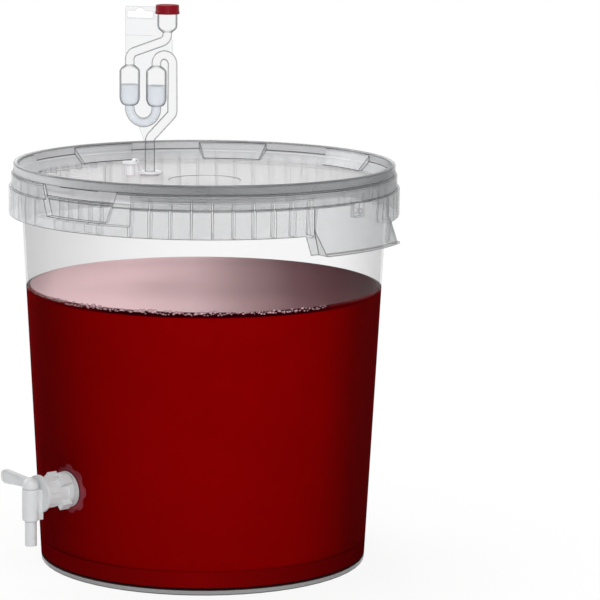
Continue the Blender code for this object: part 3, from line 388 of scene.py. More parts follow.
# Turns a place in the room into 0 at the object's left as the photograph shows it and 1 at its right, and the
# same from its near side to its far side
def paintedLightShares(tree, place):
    turned = add(tree, "ShaderNodeMapping", links={"Vector": place}, values={
        "Rotation": (0, 0, radians(paintedLightFrame["turn"])), "Scale": (1 / paintedLightFrame["width"],) * 3,
        "Location": (0.5, 0.5, 0)})
    axes = add(tree, "ShaderNodeSeparateXYZ", links={"Vector": turned.outputs["Vector"]})
    return axes.outputs["X"], axes.outputs["Y"]


# Painted light and shade that change from left to right: a painted reflection of the window on one side and
# painted shade where the room is dark, blended towards the far colour on the far side
def paintedLightColour(tree, place, colours, far=None):
    across, away = paintedLightShares(tree, place)
    near = stops(tree, across, [(share, linear(code)) for share, code in colours])
    if far is None:
        return near
    return blend(tree, span(tree, away, paintedLightFrame["farFrom"], paintedLightFrame["farTo"]), near, far)


# Mixes a share of one plain colour into another
def blend(tree, share, first, code):
    mixed = add(tree, "ShaderNodeMix", {"data_type": "RGBA"}, {7: linear(code)}, {"Factor": share, 6: first})
    return mixed.outputs[2]


# The lowest and the highest point of a face, in millimetres
def lowest(face):
    return min(vertex.co.z for vertex in face.verts) / mm


def highest(face):
    return max(vertex.co.z for vertex in face.verts) / mm


# Gives a finished piece its material, the CAD nodes that it stands for and the body that it rides on
def finishPiece(obj, material, body, slot, *nodes):
    if material:
        dress(obj, material)
    if nodes:
        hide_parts(*nodes)
    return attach(obj, body)


bucket = {"edge": 0.5, "lidEdge": 0.45, "footLine": 4.8, "footShade": 7.6, "floor": 22.6, "wineLine": 266.5,
          "wallOut": 176.3, "panelOut": 173.2, "collar": 360.8, "seamFrom": 1.5, "seamStep": 6, "seams": 30,
          "notchSeams": (-6, -2, 2, 6), "room": 0.6, "slack": 0.1}


# Natural polypropylene, injection moulded: no pigment, so it hides little where it is looked at squarely and
# more where it is looked at along its face. Its colours are painted light and shade, from left to right and
# towards the far side. The thin shares make it hide less again, from left to right, as painted light.
def makePolypropylene(part, colours, square, along, bend, gloss, far=None, start=0.0, end=1.0, thin=()):
    made, tree, shader, place = startMaterial("naturalPolypropylene" + part, 0.3, 1.49, gloss)
    tree.links.new(paintedLightColour(tree, place, colours, far), shader.inputs["Base Color"])
    alpha = seeThrough(tree, square, along, bend, start, end)
    if thin:
        share = stops(tree, paintedLightShares(tree, place)[0], [(at, (much, much, much, 1)) for at, much in thin])
        alpha = calculate(tree, "MULTIPLY", alpha, share)
    tree.links.new(alpha, shader.inputs["Alpha"])
    ripple(tree, place, 22, 0.02, shader)
    return made


# The same plastic along its rounded edges and corners, which bend the light away and so draw grey lines
def makePolypropyleneEdge(part, code, alpha):
    made, tree, shader, place = startClouded("naturalPolypropylene" + part, 0.22, 1.49, 9, code, 0.8)
    shader.inputs["Alpha"].default_value = alpha
    return made


bucketSkins = (
    # Wall: its thin shares are painted light, so it hides less from the middle to the right
    makePolypropylene("Wall", [(0.0, "808284"), (1.0, "808284")], 0.04, 0.21, 1.0, 0.1,
                      thin=((0.2, 1.0), (0.5, 0.6), (0.86, 0.3), (0.98, 0.85))),
    makePolypropyleneEdge("Edge", "424446", 0.8),
    # Rim: painted light on the left, painted shade in the middle
    makePolypropylene("Rim", [(0.0, "f6f8fa"), (0.12, "ecf0f2"), (0.3, "c6c8ca"), (0.5, "acaeb0"),
                      (0.8, "bcbec0")], 0.3, 0.52, 1.6, 0.3),
    # Foot: wine red, with painted shade towards its left and right
    makePolypropylene("Foot", [(0.0, "4c0204"), (0.5, "780203"), (1.0, "4c0204")], 0.99, 1.0, 1.0, 0.0),
    # Painted shade over the wine: a dark red sheet that darkens its sides where the wall is seen along its face,
    # with painted reflection lighter at its outermost left and right
    makePolypropylene("PaintedWineShade", [(0.0, "780c0e"), (0.1, "560406"), (0.9, "540406"), (1.0, "660a0c")],
                      0.02, 0.98, 1.0, 0.0, start=0.26, end=0.94),
    # Foot ring: painted shade in the middle, lighter towards its left and right
    makePolypropylene("FootRing", [(0.0, "8a8a8a"), (0.5, "565656"), (1.0, "8a8a8a")], 0.5, 0.8, 1.0, 0.25),
    # Collar: painted light on the left, painted shadow under the lid's rim in the middle, painted lighter at the
    # far side
    makePolypropylene("Collar", [(0.0, "f4f6f8"), (0.15, "dcdee0"), (0.36, "a6a8aa"), (0.5, "8a8c8e"),
                      (0.66, "9a9c9e"), (0.85, "b4b6b8"), (1.0, "acaeb0")], 0.42, 0.54, 1.6, 0.3, "d0d2d4"),
    makePolypropylene("FootShade", [(0.0, "2a0a0c"), (0.5, "1e0406"), (1.0, "2a0a0c")], 0.96, 1.0, 1.0, 0.0))
wallSkin, edgeSkin, rimSkin, footSkin, paintedWineShadeSkin, footRingSkin, collarSkin, footShadeSkin = range(8)
bucketSeams = [bucket["seamFrom"] + bucket["seamStep"] * k for k in range(bucket["seams"])]
bucketSeams += bucket["notchSeams"]
bucketShell = roundedCopy("bucket", "bucketShell", bucket["edge"], bucketSkins,
                          [(bucketAxis, turn) for turn in bucketSeams],
                          [bucket[line] for line in ("footLine", "footShade", "floor", "wineLine")],
                          bucket["room"])
giveSlot(bucketShell, rimSkin, lambda face: face.material_index == wallSkin
         and min(axisDistance(v) for v in face.verts) > bucket["wallOut"])
giveSlot(bucketShell, collarSkin, lambda face: face.material_index == rimSkin
         and lowest(face) > bucket["collar"])
for skin, line in ((footRingSkin, "footLine"), (footShadeSkin, "footShade")):
    giveSlot(bucketShell, skin, lambda face: face.material_index == wallSkin
             and highest(face) < bucket[line] + bucket["slack"])
giveSlot(bucketShell, footSkin, lambda face: face.material_index in (wallSkin, edgeSkin)
         and highest(face) < bucket["floor"] + bucket["slack"]
         and lowest(face) > bucket["footShade"] - bucket["slack"])
giveSlot(bucketShell, paintedWineShadeSkin, lambda face: face.material_index == wallSkin
         and highest(face) < bucket["wineLine"] + bucket["slack"])
finishPiece(bucketShell, None, "bucket", "bucket_polypropylene", "bucket")

lidSkins = (
    # Lid panel: painted shade on its left
    makePolypropylene("LidPanel", [(0.0, "dcdcdd"), (0.3, "f4f4f5"), (1.0, "f6f6f7")], 0.2, 0.34, 5.0, 0.3),
    makePolypropyleneEdge("LidEdge", "4c4e50", 0.7),
    # Lid rim: painted light on the left, painted shade in the middle, painted lighter at the far side
    makePolypropylene("LidRim", [(0.0, "fafcfe"), (0.1, "f0f2f4"), (0.22, "c4c6c8"), (0.38, "9c9ea0"),
                      (0.5, "808284"), (0.7, "9a9c9e"), (0.9, "a8aaac"), (1.0, "8c8e90")], 0.34, 0.48, 1.6, 0.5,
                      "e2e4e6"))
lidShell = roundedCopy("lid", "lidShell", bucket["lidEdge"], lidSkins, [(bucketAxis, 0), (bucketAxis, 90)])
giveSlot(lidShell, rimSkin, lambda face: face.material_index == wallSkin
         and max(axisDistance(v) for v in face.verts) > bucket["panelOut"])
finishPiece(lidShell, None, "lid", "lid_polypropylene", "lid")
print("bucket and lid done")


wine = {
    "foot": 156.9, "slope": 0.0506, "wall": 1.8, "gap": 0.34, "level": 267.0, "meniscus": 2.2, "climb": 0.7,
    "climbCurve": 2.5, "climbSteps": 5, "foamDeep": 1.6, "foamLow": 263.0, "foamLip": 0.8, "paintedShadeFrom": 262.0,
    "paintedShadeTo": 263.2, "floor": 12.2, "fillet": 8.0, "panel": 72.0, "panelRise": 1.5, "bubbles": 210,
    "bubbleSizes": (0.7, 2.2), "bubbleFrom": -122, "bubbleTo": -8, "bubbleFoot": -0.6, "bubbleFlat": 0.8,
    "bubbleLow": 1.0,
}
tapPlace = Matrix.Translation(Vector((-42.383, -188.964, 88.0)) * mm) @ Matrix.Rotation(radians(-102), 4, "Z")
lieOut = Matrix.Rotation(pi / 2, 4, "Y")     # turns a piece's Z axis into the tap's outward axis


def insideRadius(z):
    return wine["foot"] + wine["slope"] * z - wine["wall"]


def wineOutline():
    w = wine
    edge = insideRadius(w["level"]) - w["gap"]
    foam = edge - w["foamDeep"]
    shares = [k / w["climbSteps"] for k in range(w["climbSteps"] + 1)]
    rise = [(foam - w["meniscus"] * (1 - s), w["level"] + w["climb"] * s ** w["climbCurve"]) for s in shares]
    rise += [(foam, w["foamLow"] + w["foamLip"]), (insideRadius(w["foamLow"]) - w["gap"], w["foamLow"])]
    filletZ = w["floor"] + w["fillet"]
    bottom = w["floor"] + w["gap"]
    corner = arc((insideRadius(filletZ) - w["fillet"], filletZ), w["fillet"] - w["gap"], 0, -90, 8)
    return [(0, w["level"]), *rise, *corner, (w["panel"] + w["panelRise"], bottom),
            (w["panel"], bottom + w["panelRise"]), (0, bottom + w["panelRise"])]


# Red wine, so deep that no light comes back from its middle: dark red against the wall, and a painted shade,
# nearly black, in the line under its surface, fading out towards its left and right
def makeRedWine():
    made, tree, shader, place = startMaterial("redWine", 0.9, 1.34, 0.0)
    body = clouds(tree, place, 60, "870102", 0.94, detail=1.0)
    across = paintedLightShares(tree, place)[0]
    share = stops(tree, across, [(0.05, (0, 0, 0, 1)), (0.28, (1, 1, 1, 1)), (0.8, (1, 1, 1, 1)),
                                 (0.97, (0.2, 0.2, 0.2, 1))])
    paintedShadeBand = calculate(tree, "MULTIPLY", between(tree, place, wine["paintedShadeFrom"], wine["paintedShadeTo"]), share)
    tree.links.new(blend(tree, paintedShadeBand, body, "2e0006"), shader.inputs["Base Color"])
    return made


# The wine's top: a painted reflection, pale on the side of the window and dark on the other side
def makeWineSurface():
    made, tree, shader, place = startMaterial("redWineSurface", 0.5, 1.34, 0.0)
    tree.links.new(paintedLightColour(tree, place, [
        (0.02, "b89698"), (0.12, "fcd6d9"), (0.3, "fad6d9"), (0.49, "e0c0c3"), (0.62, "b09294"), (0.76, "7c5a5e"),
        (0.84, "6a4649"), (0.96, "502f32")]), shader.inputs["Base Color"])
    return made


# The nut shows dull red through the little wine that stands between it and the wall
def makeWineOverNut(name, code):
    return startClouded(name, 0.6, 1.34, 6, code, 0.85, 0.1)[0]


wineBody = turnOutline("wineBody", wineOutline(), 180)
settle(wineBody, Matrix.Translation(bucketAxis))
dress(wineBody, makeRedWine(), makeWineSurface())
giveSlot(wineBody, 1, lambda face: face.calc_center_median().z > (wine["level"] - 0.05) * mm
         and face.normal.z > 0)
finishPiece(shade(wineBody), None, "bucket", "red_wine", "wine")

nut = {"front": -47.87, "flange": 18.5, "flangeThick": 2.4, "thick": 6.5, "bore": 13.3, "lobes": 8, "lobe": 23.5,
       "valley": 20.8, "lobeHalf": 9, "valleyHalf": 5, "low": 55, "high": 121, "shadeAt": -48, "shadeCut": 30,
       "shadeRim": 0.9, "shadeGap": 0.8, "lobeShade": 0.02, "flangeShade": 0.035, "overlap": 0.1, "deep": 12,
       "edge": 0.4}


# The nut's outline, with three points round each lobe and each valley
def lobeOutline():
    n = nut
    step = 360 / n["lobes"]
    points = []
    for k in range(n["lobes"]):
        for middle, spread, radius in ((k * step, n["lobeHalf"], n["lobe"]),
                                       ((k + 0.5) * step, n["valleyHalf"], n["valley"])):
            angles = [radians(middle + side * spread) for side in (-1, 0, 1)]
            points += [(radius * cos(a), radius * sin(a)) for a in angles]
    return points


# A sheet that hugs the inside of the wall and has the nut's outline, as the nut is seen from outside
def wallPatch(name, outline, thickness):
    n = nut
    low, high = insideRadius(n["low"]), insideRadius(n["high"])
    gap = wine["gap"] * n["shadeGap"]
    patch = turnOutline(name, [(low - gap + thickness, n["low"]), (high - gap + thickness, n["high"]),
                               (high - gap, n["high"]), (low - gap, n["low"])], 180)
    settle(patch, Matrix.Translation(bucketAxis))
    cutter = cutPlate("cutter", outline, n["shadeCut"])
    settle(cutter, tapPlace @ shift(n["shadeAt"]) @ Matrix.Rotation(pi / 2, 4, "Z"))
    return shade(combine(patch, cutter, "INTERSECT"))


nutThroughWine = wallPatch("nutThroughWine", lobeOutline(), nut["lobeShade"])
dress(nutThroughWine, makeWineOverNut("redWineOverNut", "a44450"))
flangeThroughWine = wallPatch("flangeThroughWine", arc((0, 0), nut["flange"] + nut["shadeRim"], 0, 352.5, 47),
                              nut["flangeShade"])
dress(flangeThroughWine, makeWineOverNut("redWineOverFlange", "b45662"))
gather(nutThroughWine, [flangeThroughWine])
finishPiece(nutThroughWine, None, "bucket", "red_wine")


# Bubbles that cling to the wall where the wine meets it, thickest towards the front
def makeBubbleFilm():
    made, tree, shader, place = startClouded("wineBubbleFilm", 0.1, 1.34, 2, "f6c6cc", 0.35)
    tree.links.new(seeThrough(tree, 0.95, 0.1, 1.0), shader.inputs["Alpha"])
    return made


def makeBubbles():
    w = wine
    draw = Random(7)
    first = begin("wineBubbles", bpy.ops.mesh.primitive_uv_sphere_add, segments=10, ring_count=6, radius=mm)
    enterEdit(first)
    bpy.ops.mesh.bisect(plane_co=(0, 0, w["bubbleFoot"] * mm), plane_no=(0, 0, 1), clear_inner=True,
                        use_fill=True)
    leaveEdit()
    copies = []
    for k in range(w["bubbles"]):
        share = (k + draw.random()) / w["bubbles"]
        angle = radians(w["bubbleFrom"] + (w["bubbleTo"] - w["bubbleFrom"]) * share)
        thick = 1 - abs(2 * share - 1) ** 3
        low, high = w["bubbleSizes"]
        radius = low + (high - low) * thick * draw.random() ** 2
        out = insideRadius(w["level"]) - w["gap"] - radius
        height = w["foamLow"] + w["bubbleLow"] + radius + draw.random() * (w["level"] - w["foamLow"] - radius)
        bubble = first.copy()
        bubble.data = first.data.copy()
        bpy.context.scene.collection.objects.link(bubble)
        bubble.location = bucketAxis + Vector((out * cos(angle), out * sin(angle), height)) * mm
        bubble.scale = (radius, radius, radius * w["bubbleFlat"])
        copies.append(bubble)
    gather(copies[0], copies)
    bpy.data.objects.remove(first, do_unlink=True)
    return shade(settle(copies[0]), tubeAngle)


wineBubbles = makeBubbles()
wineBubbles.name = "wineBubbles"
finishPiece(wineBubbles, makeBubbleFilm(), "bucket", "red_wine")
print("wine done")


airlock = {
    "tipZ": 359.9, "turn": 17.7, "wall": 1.2, "height": 171.8, "tube": 4.6, "stem": 4.9, "tip": 3.65,
    "tipTaper": 11.0, "stemLength": 42.5, "riser": 23.5, "riserStart": 67.2, "arch": 8.45, "bulb": 10.0,
    "bulbLength": 39.3, "topShoulder": 6.0, "footShoulder": 8.5, "bulbGap": 27.9, "bulbStart": 73.3, "neck": 2.0,
    "crown": 123.3, "bulbSteps": 10, "bulbCurve": 1.7,
    "cupOffset": 18.0, "cup": 9.7, "cupHeight": 23.5, "bowl": 6.2, "cupNeck": 1.2, "bend": 8.5,
    "capDrop": 2.1, "swanCorner": 138.0, "swanFall": 14.4, "cornerSteps": 14, "roundness": 8,
    "webThick": 1.5, "webLeft": 25.9, "webTop": 169.4, "webRim": 1.8, "webFoot": 35.5, "webCorner": 2,
    "webEdge": 0.3, "capEdge": 12.65, "underCap": 11.9, "slotHeight": 6.8, "slotRail": 4.4, "slotBump": 5.2,
    "slotRise": 2.8, "slotSide": 2.0, "slotSteps": 12, "ridges": ((157.4, 5.05), (141.4, 2.0)), "ridge": 0.35,
    "ridgeGap": 0.3, "reach": 0.15, "waterShare": 0.52, "waterGap": 0.08, "waterRim": 0.9, "waterSag": 0.5,
}
bungPlace = Matrix.Translation(bucketAxis) @ shift(-69)
airlockPlace = bungPlace @ Matrix.Rotation(radians(airlock["turn"]), 4, "Z")
airlock["right"] = airlock["riser"] - 2 * airlock["arch"]
airlock["left"] = airlock["right"] - airlock["bulbGap"]
airlock["low"] = airlock["tipZ"] + airlock["bulbStart"]
airlock["high"] = airlock["low"] + airlock["bulbLength"]
airlock["rim"] = airlock["tipZ"] + airlock["height"] - airlock["capDrop"]


# Points round a corner of the tube's route
def roundCorner(before, corner, after, radius, tube):
    corner = Vector(corner)
    back = (Vector(before) - corner).normalized()
    ahead = (Vector(after) - corner).normalized()
    turn = pi - back.angle(ahead)
    centre = corner + (back + ahead).normalized() * radius / cos(turn / 2)
    spoke = corner + back * radius * tan(turn / 2) - centre
    side = 1 if ahead.x * back.y - ahead.y * back.x > 0 else -1
    steps = airlock["cornerSteps"]
    spokes = [Matrix.Rotation(side * turn * k / steps, 2) @ spoke for k in range(steps + 1)]
    return [(centre.x + s.x, centre.y + s.y, tube) for s in spokes]


# One of the trap's two bulbs, round at its foot and flatter at its top
def bulb(u, start, end):
    a = airlock
    way = 1 if end > start else -1
    gain = a["bulb"] - a["tube"]
    shares = [k / a["bulbSteps"] for k in range(a["bulbSteps"] + 1)]

    def shoulder(z, atFoot, side):
        tall = a["footShoulder"] if atFoot else a["topShoulder"]
        swell = [sqrt(1 - (1 - s) ** 2) if atFoot else 1 - (1 - s) ** a["bulbCurve"] for s in shares]
        return [(u, z + side * tall * s, a["tube"] + gain * g) for s, g in zip(shares, swell)]

    return shoulder(start, way > 0, way) + list(reversed(shoulder(end, way < 0, -way)))


# The tube through both bulbs and the bend under them
def trapRoute():
    a = airlock
    half = a["bulbGap"] / 2
    bottom = a["low"] - a["neck"] - half
    left, right = (a["left"], bottom), (a["right"], bottom)
    turn = roundCorner((a["left"], a["low"]), left, right, half, a["tube"])
    turn += roundCorner(left, right, (a["right"], a["low"]), half, a["tube"])[1:]
    return bulb(a["left"], a["high"], a["low"]) + turn + bulb(a["right"], a["low"], a["high"])


# The whole tube, from the cup down through the trap, over the arch and down the stem
def airlockRoute():
    a = airlock
    neck = a["rim"] - a["cupHeight"]
    upper = (a["cupOffset"], a["tipZ"] + a["swanCorner"])
    lower = (a["left"], a["tipZ"] + a["swanCorner"] - a["swanFall"])
    bowl = [1 - k / 10 for k in range(10)]
    route = [(a["cupOffset"], a["rim"], a["cup"])]
    route += [(a["cupOffset"], neck + a["bowl"] * s, a["tube"] + (a["cup"] - a["tube"]) * sqrt(1 - (1 - s) ** 2))
              for s in bowl]
    route += [(a["cupOffset"], neck - a["cupNeck"], a["tube"])]
    route += roundCorner((a["cupOffset"], neck), upper, lower, a["bend"], a["tube"])
    route += roundCorner(upper, lower, (a["left"], a["high"]), a["bend"], a["tube"])
    route += trapRoute()
    crown = a["tipZ"] + a["crown"]
    archLeft, archRight = (a["right"], crown), (a["riser"], crown)
    route += roundCorner((a["right"], a["high"]), archLeft, archRight, a["arch"], a["tube"])
    route += roundCorner(archLeft, archRight, (a["riser"], a["high"]), a["arch"], a["tube"])[1:]
    knee, elbow = (a["riser"], a["tipZ"] + a["riserStart"]), (0, a["tipZ"] + a["stemLength"])
    route += roundCorner((a["riser"], a["high"]), knee, elbow, a["bend"], a["stem"])
    route += roundCorner(knee, elbow, (0, a["tipZ"]), a["bend"], a["stem"])
    route += [(0, a["tipZ"] + a["tipTaper"], a["stem"]), (0, a["tipZ"], a["tip"])]
    return route


# A round tube along (u, z, radius) points, made from a bevelled curve
def drawTube(name, route, capped):
    curve = begin(name, bpy.ops.curve.primitive_nurbs_path_add).data
    curve.splines.clear()
    line = curve.splines.new("POLY")
    line.points.add(len(route) - 1)
    for point, (u, z, radius) in zip(line.points, route):
        point.co = (u * mm, 0, z * mm, 1)
        point.radius = radius
    curve.bevel_depth = mm
    curve.bevel_resolution = airlock["roundness"]
    curve.use_fill_caps = capped
    bpy.ops.object.convert(target="MESH")
    enterEdit(bpy.context.object)
    closeSkin()
    return bpy.context.object


# The flat plate between the airlock's tubes, and the slot in it
def webOutline():
    a = airlock
    top, edge = a["tipZ"] + a["webTop"], a["cupOffset"] - a["capEdge"]
    shelf, foot = a["tipZ"] + a["height"] - a["underCap"], a["tipZ"] + a["webFoot"]
    r = a["webCorner"]
    return [*arc((-a["webLeft"] + r, top - r), r, 180, 90, 4), (edge, top), (edge, shelf),
            (a["cupOffset"], shelf), (a["cupOffset"], a["rim"] - a["cupHeight"]),
            (a["riser"], a["tipZ"] + a["swanCorner"]), (a["riser"], a["tipZ"] + a["riserStart"]),
            (0, a["tipZ"] + a["stemLength"]), (0, foot - a["stem"]), (-a["stem"] + 0.4, foot),
            (a["left"] + a["bulbGap"] / 4, a["low"] - a["bulbGap"] / 2), (a["left"], a["low"]),
            (a["left"], a["high"]), (-a["webLeft"], a["tipZ"] + a["swanCorner"] - a["swanFall"])]


def slotOutline():
    a = airlock
    left, right = -a["webLeft"] + a["webRim"], a["cupOffset"] - a["capEdge"] - a["slotSide"]
    top = a["tipZ"] + a["webTop"] - a["slotRail"]
    bottom = top - a["slotHeight"]
    r = a["slotHeight"] / 3
    middle = (left + right) / 2
    angles = [pi * k / a["slotSteps"] for k in range(a["slotSteps"] + 1)]
    bump = [(middle + a["slotBump"] * cos(angle), top + a["slotRise"] * sin(angle)) for angle in angles]
    return [*arc((left + r, bottom + r), r, 180, 270, 6), *arc((right - r, bottom + r), r, 270, 360, 6),
            *arc((right - r, top - r), r, 0, 90, 6), *bump, *arc((left + r, top - r), r, 90, 180, 6)]


# Crystal polystyrene, moulded: clear as glass, with its outlines drawn grey where the wall is seen edge-on
def makeCrystal(name, code, square, along, start, end, gloss=0.5):
    made, tree, shader, place = startClouded(name, 0.06, 1.59, 5, code, 0.9, gloss)
    tree.links.new(seeThrough(tree, square, along, 1.0, start, end), shader.inputs["Alpha"])
    return made


# Clear water, pale blue against the white room
def makeTrapWater():
    made, tree, shader, place = startClouded("airlockWater", 0.03, 1.33, 8, "dce9f8", 0.95)
    tree.links.new(seeThrough(tree, 0.28, 0.5, 2.0), shader.inputs["Alpha"])
    return made


# The top of the trap's water, seen nearly edge-on as a grey line
def makeTrapWaterTop():
    made, tree, shader, place = startClouded("airlockWaterTop", 0.03, 1.33, 8, "66727e", 0.9)
    shader.inputs["Alpha"].default_value = 0.6
    return made


airlockTube = drawTube("airlockTube", airlockRoute(), False)
dress(airlockTube, makeCrystal("crystalPolystyrene", "4a5058", 0.045, 0.74, 0.3, 0.7),
      makeCrystal("crystalPolystyreneInside", "8d939b", 0.01, 0.15, 0.4, 1.0, 0.1))
applyModifier(airlockTube, "SOLIDIFY", thickness=airlock["wall"] * mm, offset=-1, material_offset=1)
web = cutPlate("web", webOutline(), airlock["webThick"])
carve(web, cutPlate("slot", slotOutline(), airlock["webThick"] + 2))
inner = [(u, z, r - airlock["reach"]) for u, z, r in airlockRoute()]
carve(web, drawTube("tubeCore", inner, True))
dress(web, makeCrystal("crystalPolystyrenePlate", "b4b8c2", 0.085, 0.34, 0.5, 1.0, 0.3),
      makeCrystal("crystalPolystyrenePlateEdge", "a0a4ac", 0.35, 0.6, 0.2, 1.0))
roundEdges(web, airlock["webEdge"], edgeSlot=1)
ridges = []
for height, right in airlock["ridges"]:
    z, side = airlock["tipZ"] + height, airlock["webThick"] / 2 + airlock["ridge"]
    ridge = block("ridge", (airlock["ridgeGap"] - airlock["webLeft"], -side, z - airlock["ridge"]),
                  (right, side, z + airlock["ridge"]))
    dress(ridge, web.data.materials[0])
    ridges.append(ridge)
gather(web, ridges)
shade(airlockTube, tubeAngle)
gather(airlockTube, [web])
settle(airlockTube, airlockPlace)
finishPiece(airlockTube, None, "airlock", "airlock_polystyrene", "airlock_body")

level = airlock["low"] + airlock["bulbLength"] * airlock["waterShare"]
thin = airlock["wall"] + airlock["waterGap"]
wet = [(u, z, r - thin) for u, z, r in trapRoute() if z < level - 1]
full = airlock["bulb"] - thin
trapWater = drawTube("trapWater", [(airlock["left"], level, full), *wet, (airlock["right"], level, full)], True)
dress(trapWater, makeTrapWater(), makeTrapWaterTop())
giveSlot(trapWater, 1, lambda face: face.normal.z > 0.9)
enterEdit(trapWater)
pickFaces(trapWater, lambda face: face.material_index == 1)
bpy.ops.mesh.inset(thickness=airlock["waterRim"] * mm)
bpy.ops.transform.translate(value=(0, 0, -airlock["waterSag"] * mm))
leaveEdit()
shade(trapWater, tubeAngle)
settle(trapWater, airlockPlace)
finishPiece(trapWater, None, "airlock", "water", "airlock_water")

cap = {"height": 8.9, "inner": 10.05, "outer": 11.65, "step": 0.4, "skirt": 3.0, "crown": 0.7, "ceiling": 1.8,
       "dent": 0.5, "dentRim": 3.2, "dentFloor": 4, "edge": 0.3}


# Low density polyethylene dyed red, with a soft sheen
def makeCapPlastic():
    made, tree, shader, place = startClouded("redPolyethylene", 0.42, 1.51, 4, "860418", 0.8, 0.12)
    ripple(tree, place, 2.5, 0.03, shader)
    return made


top = airlock["tipZ"] + airlock["height"]
c = cap
low, shoulder = top - c["height"], c["outer"] - c["step"]
dustCap = turnOutline("dustCap", [
    (0, top - c["dent"]), (c["outer"] - c["dentFloor"], top - c["dent"]), (c["outer"] - c["dentRim"], top),
    (shoulder - c["crown"], top), (shoulder, top - c["crown"]), (shoulder, low + c["skirt"]),
    (c["outer"], low + c["skirt"] - c["step"]), (c["outer"], low), (c["inner"], low),
    (c["inner"], top - c["ceiling"]), (0, top - c["ceiling"])], 72)
roundEdges(dustCap, c["edge"], 3)
settle(dustCap, airlockPlace @ shift(airlock["cupOffset"]))
finishPiece(dustCap, makeCapPlastic(), "cap", "cap_plastic", "airlock_cap")
print("airlock done")


bung = {
    "panel": 367.9, "gap": 0.3, "flange": 12.0, "flangeThick": 2.2, "plug": 8.75, "tip": 7.25, "length": 12.5,
    "lidWall": 1.5, "neck": 0.3, "mouth": 5.25, "throat": 4.0, "distance": 26.2, "turn": -95, "head": 8.0,
    "headThick": 2.0, "stem": 4.25, "stemLength": 11.5, "bead": 0.4, "beadHeight": 1.2, "strapWidth": 4.5,
    "strapThick": 1.8, "strapRise": 7.5, "strapSteps": 20, "chamfer": 0.6, "lip": 0.5, "slope": 1.2, "dish": 0.4,
    "edge": 0.25, "stopperEdge": 0.3,
}


# Soft white polyethylene: a dull satin skin that lets a little light in
def makeBungPlastic():
    made, tree, shader, place = startClouded("softWhitePolyethylene", 0.42, 1.5, 5, "e8e9ec", 0.95)
    ripple(tree, place, 1.6, 0.02, shader)
    return made


b = bung
seat = b["panel"] + b["gap"]
flangeTop = seat + b["flangeThick"]
neck = b["panel"] - b["lidWall"] - b["gap"]
tip = neck - b["length"] + b["lidWall"]
softBung = turnOutline("softBung", [
    (b["mouth"], flangeTop - b["dish"]), (b["mouth"] + b["lip"], flangeTop), (b["flange"] - b["slope"], flangeTop),
    (b["flange"], flangeTop - b["lip"]), (b["flange"], seat), (b["plug"] - b["neck"], seat),
    (b["plug"] - b["neck"], neck), (b["plug"], neck - b["chamfer"]), (b["tip"], tip + b["chamfer"]),
    (b["tip"] - b["chamfer"], tip), (b["throat"], tip), (b["throat"], airlock["tipZ"])], 72)
roundEdges(softBung, b["edge"], 3)
settle(softBung, bungPlace)
bungPlastic = makeBungPlastic()
finishPiece(softBung, bungPlastic, "bung", "bung_soft_plastic", "bung")

headLow = b["gap"] + b["stemLength"]
headTop = headLow + b["headThick"]
stopper = turnOutline("stopperWithStrap", [
    (0, headTop), (b["head"], headTop), (b["head"], headLow), (b["stem"], headLow),
    (b["stem"], b["gap"] + 2 * b["beadHeight"]), (b["stem"] + b["bead"], b["gap"] + b["beadHeight"]),
    (b["stem"] - b["bead"], b["gap"]), (0, b["gap"])], 64)
settle(stopper, shift(b["distance"]))
start = Vector((b["flange"] + b["gap"], b["gap"] + b["flangeThick"] / 2))
crown = Vector(((start.x + b["distance"]) / 2, headTop + b["strapRise"]))
end = Vector((b["distance"] - b["head"] / 2, headTop - b["strapThick"] / 2))
shares = [k / b["strapSteps"] for k in range(b["strapSteps"] + 1)]
route = [start.lerp(crown, s).lerp(crown.lerp(end, s), s) for s in shares]
half = Vector((0, b["strapThick"] / 2))
weld(stopper, cutPlate("strap", [(p + half)[:] for p in route] + [(p - half)[:] for p in reversed(route)],
                       b["strapWidth"]))
roundEdges(stopper, b["stopperEdge"])
settle(stopper, bungPlace @ shift(0, 0, b["panel"]) @ Matrix.Rotation(radians(b["turn"]), 4, "Z"))
finishPiece(stopper, bungPlastic, "stopper", "bung_soft_plastic", "stopper_strap")
print("bung and stopper done")


tap = {
    "housing": 8.0, "above": 6.3, "below": 24.0, "faceWidth": 13.5, "core": 6.3, "disc": 17.6, "discThick": 3.2,
    "barrel": 14.0, "bore": 10.0, "crossBore": 4.2, "collarBack": -38.04, "collar": 16.5, "collarThick": 3.6,
    "thread": 13.0, "threadRoot": 12.1, "tail": -60.04, "pitch": 3.0, "lug": 18.7, "lugWidth": 9.0,
    "lugLength": 8.5, "lugBack": 1.8, "lugs": 4, "panels": 8, "panelRise": 0.4, "panelWidth": 7.0, "panelGap": 1.5,
    "overlap": 2.0, "threadStart": 1.5, "threadStop": 1.0, "flank": 0.9, "crest": 1.3, "threadEnd": 2.2,
    "fairingEdge": 0.8, "footRise": 1.5, "footIn": 0.8, "edge": 0.35,
}


# White polypropylene, injection moulded, with a fine matt skin
def makeTapPlastic():
    made, tree, shader, place = startClouded("whitePolypropylene", 0.36, 1.49, 7, "d0d2d3", 0.96)
    ripple(tree, place, 1.2, 0.012, shader)
    return made


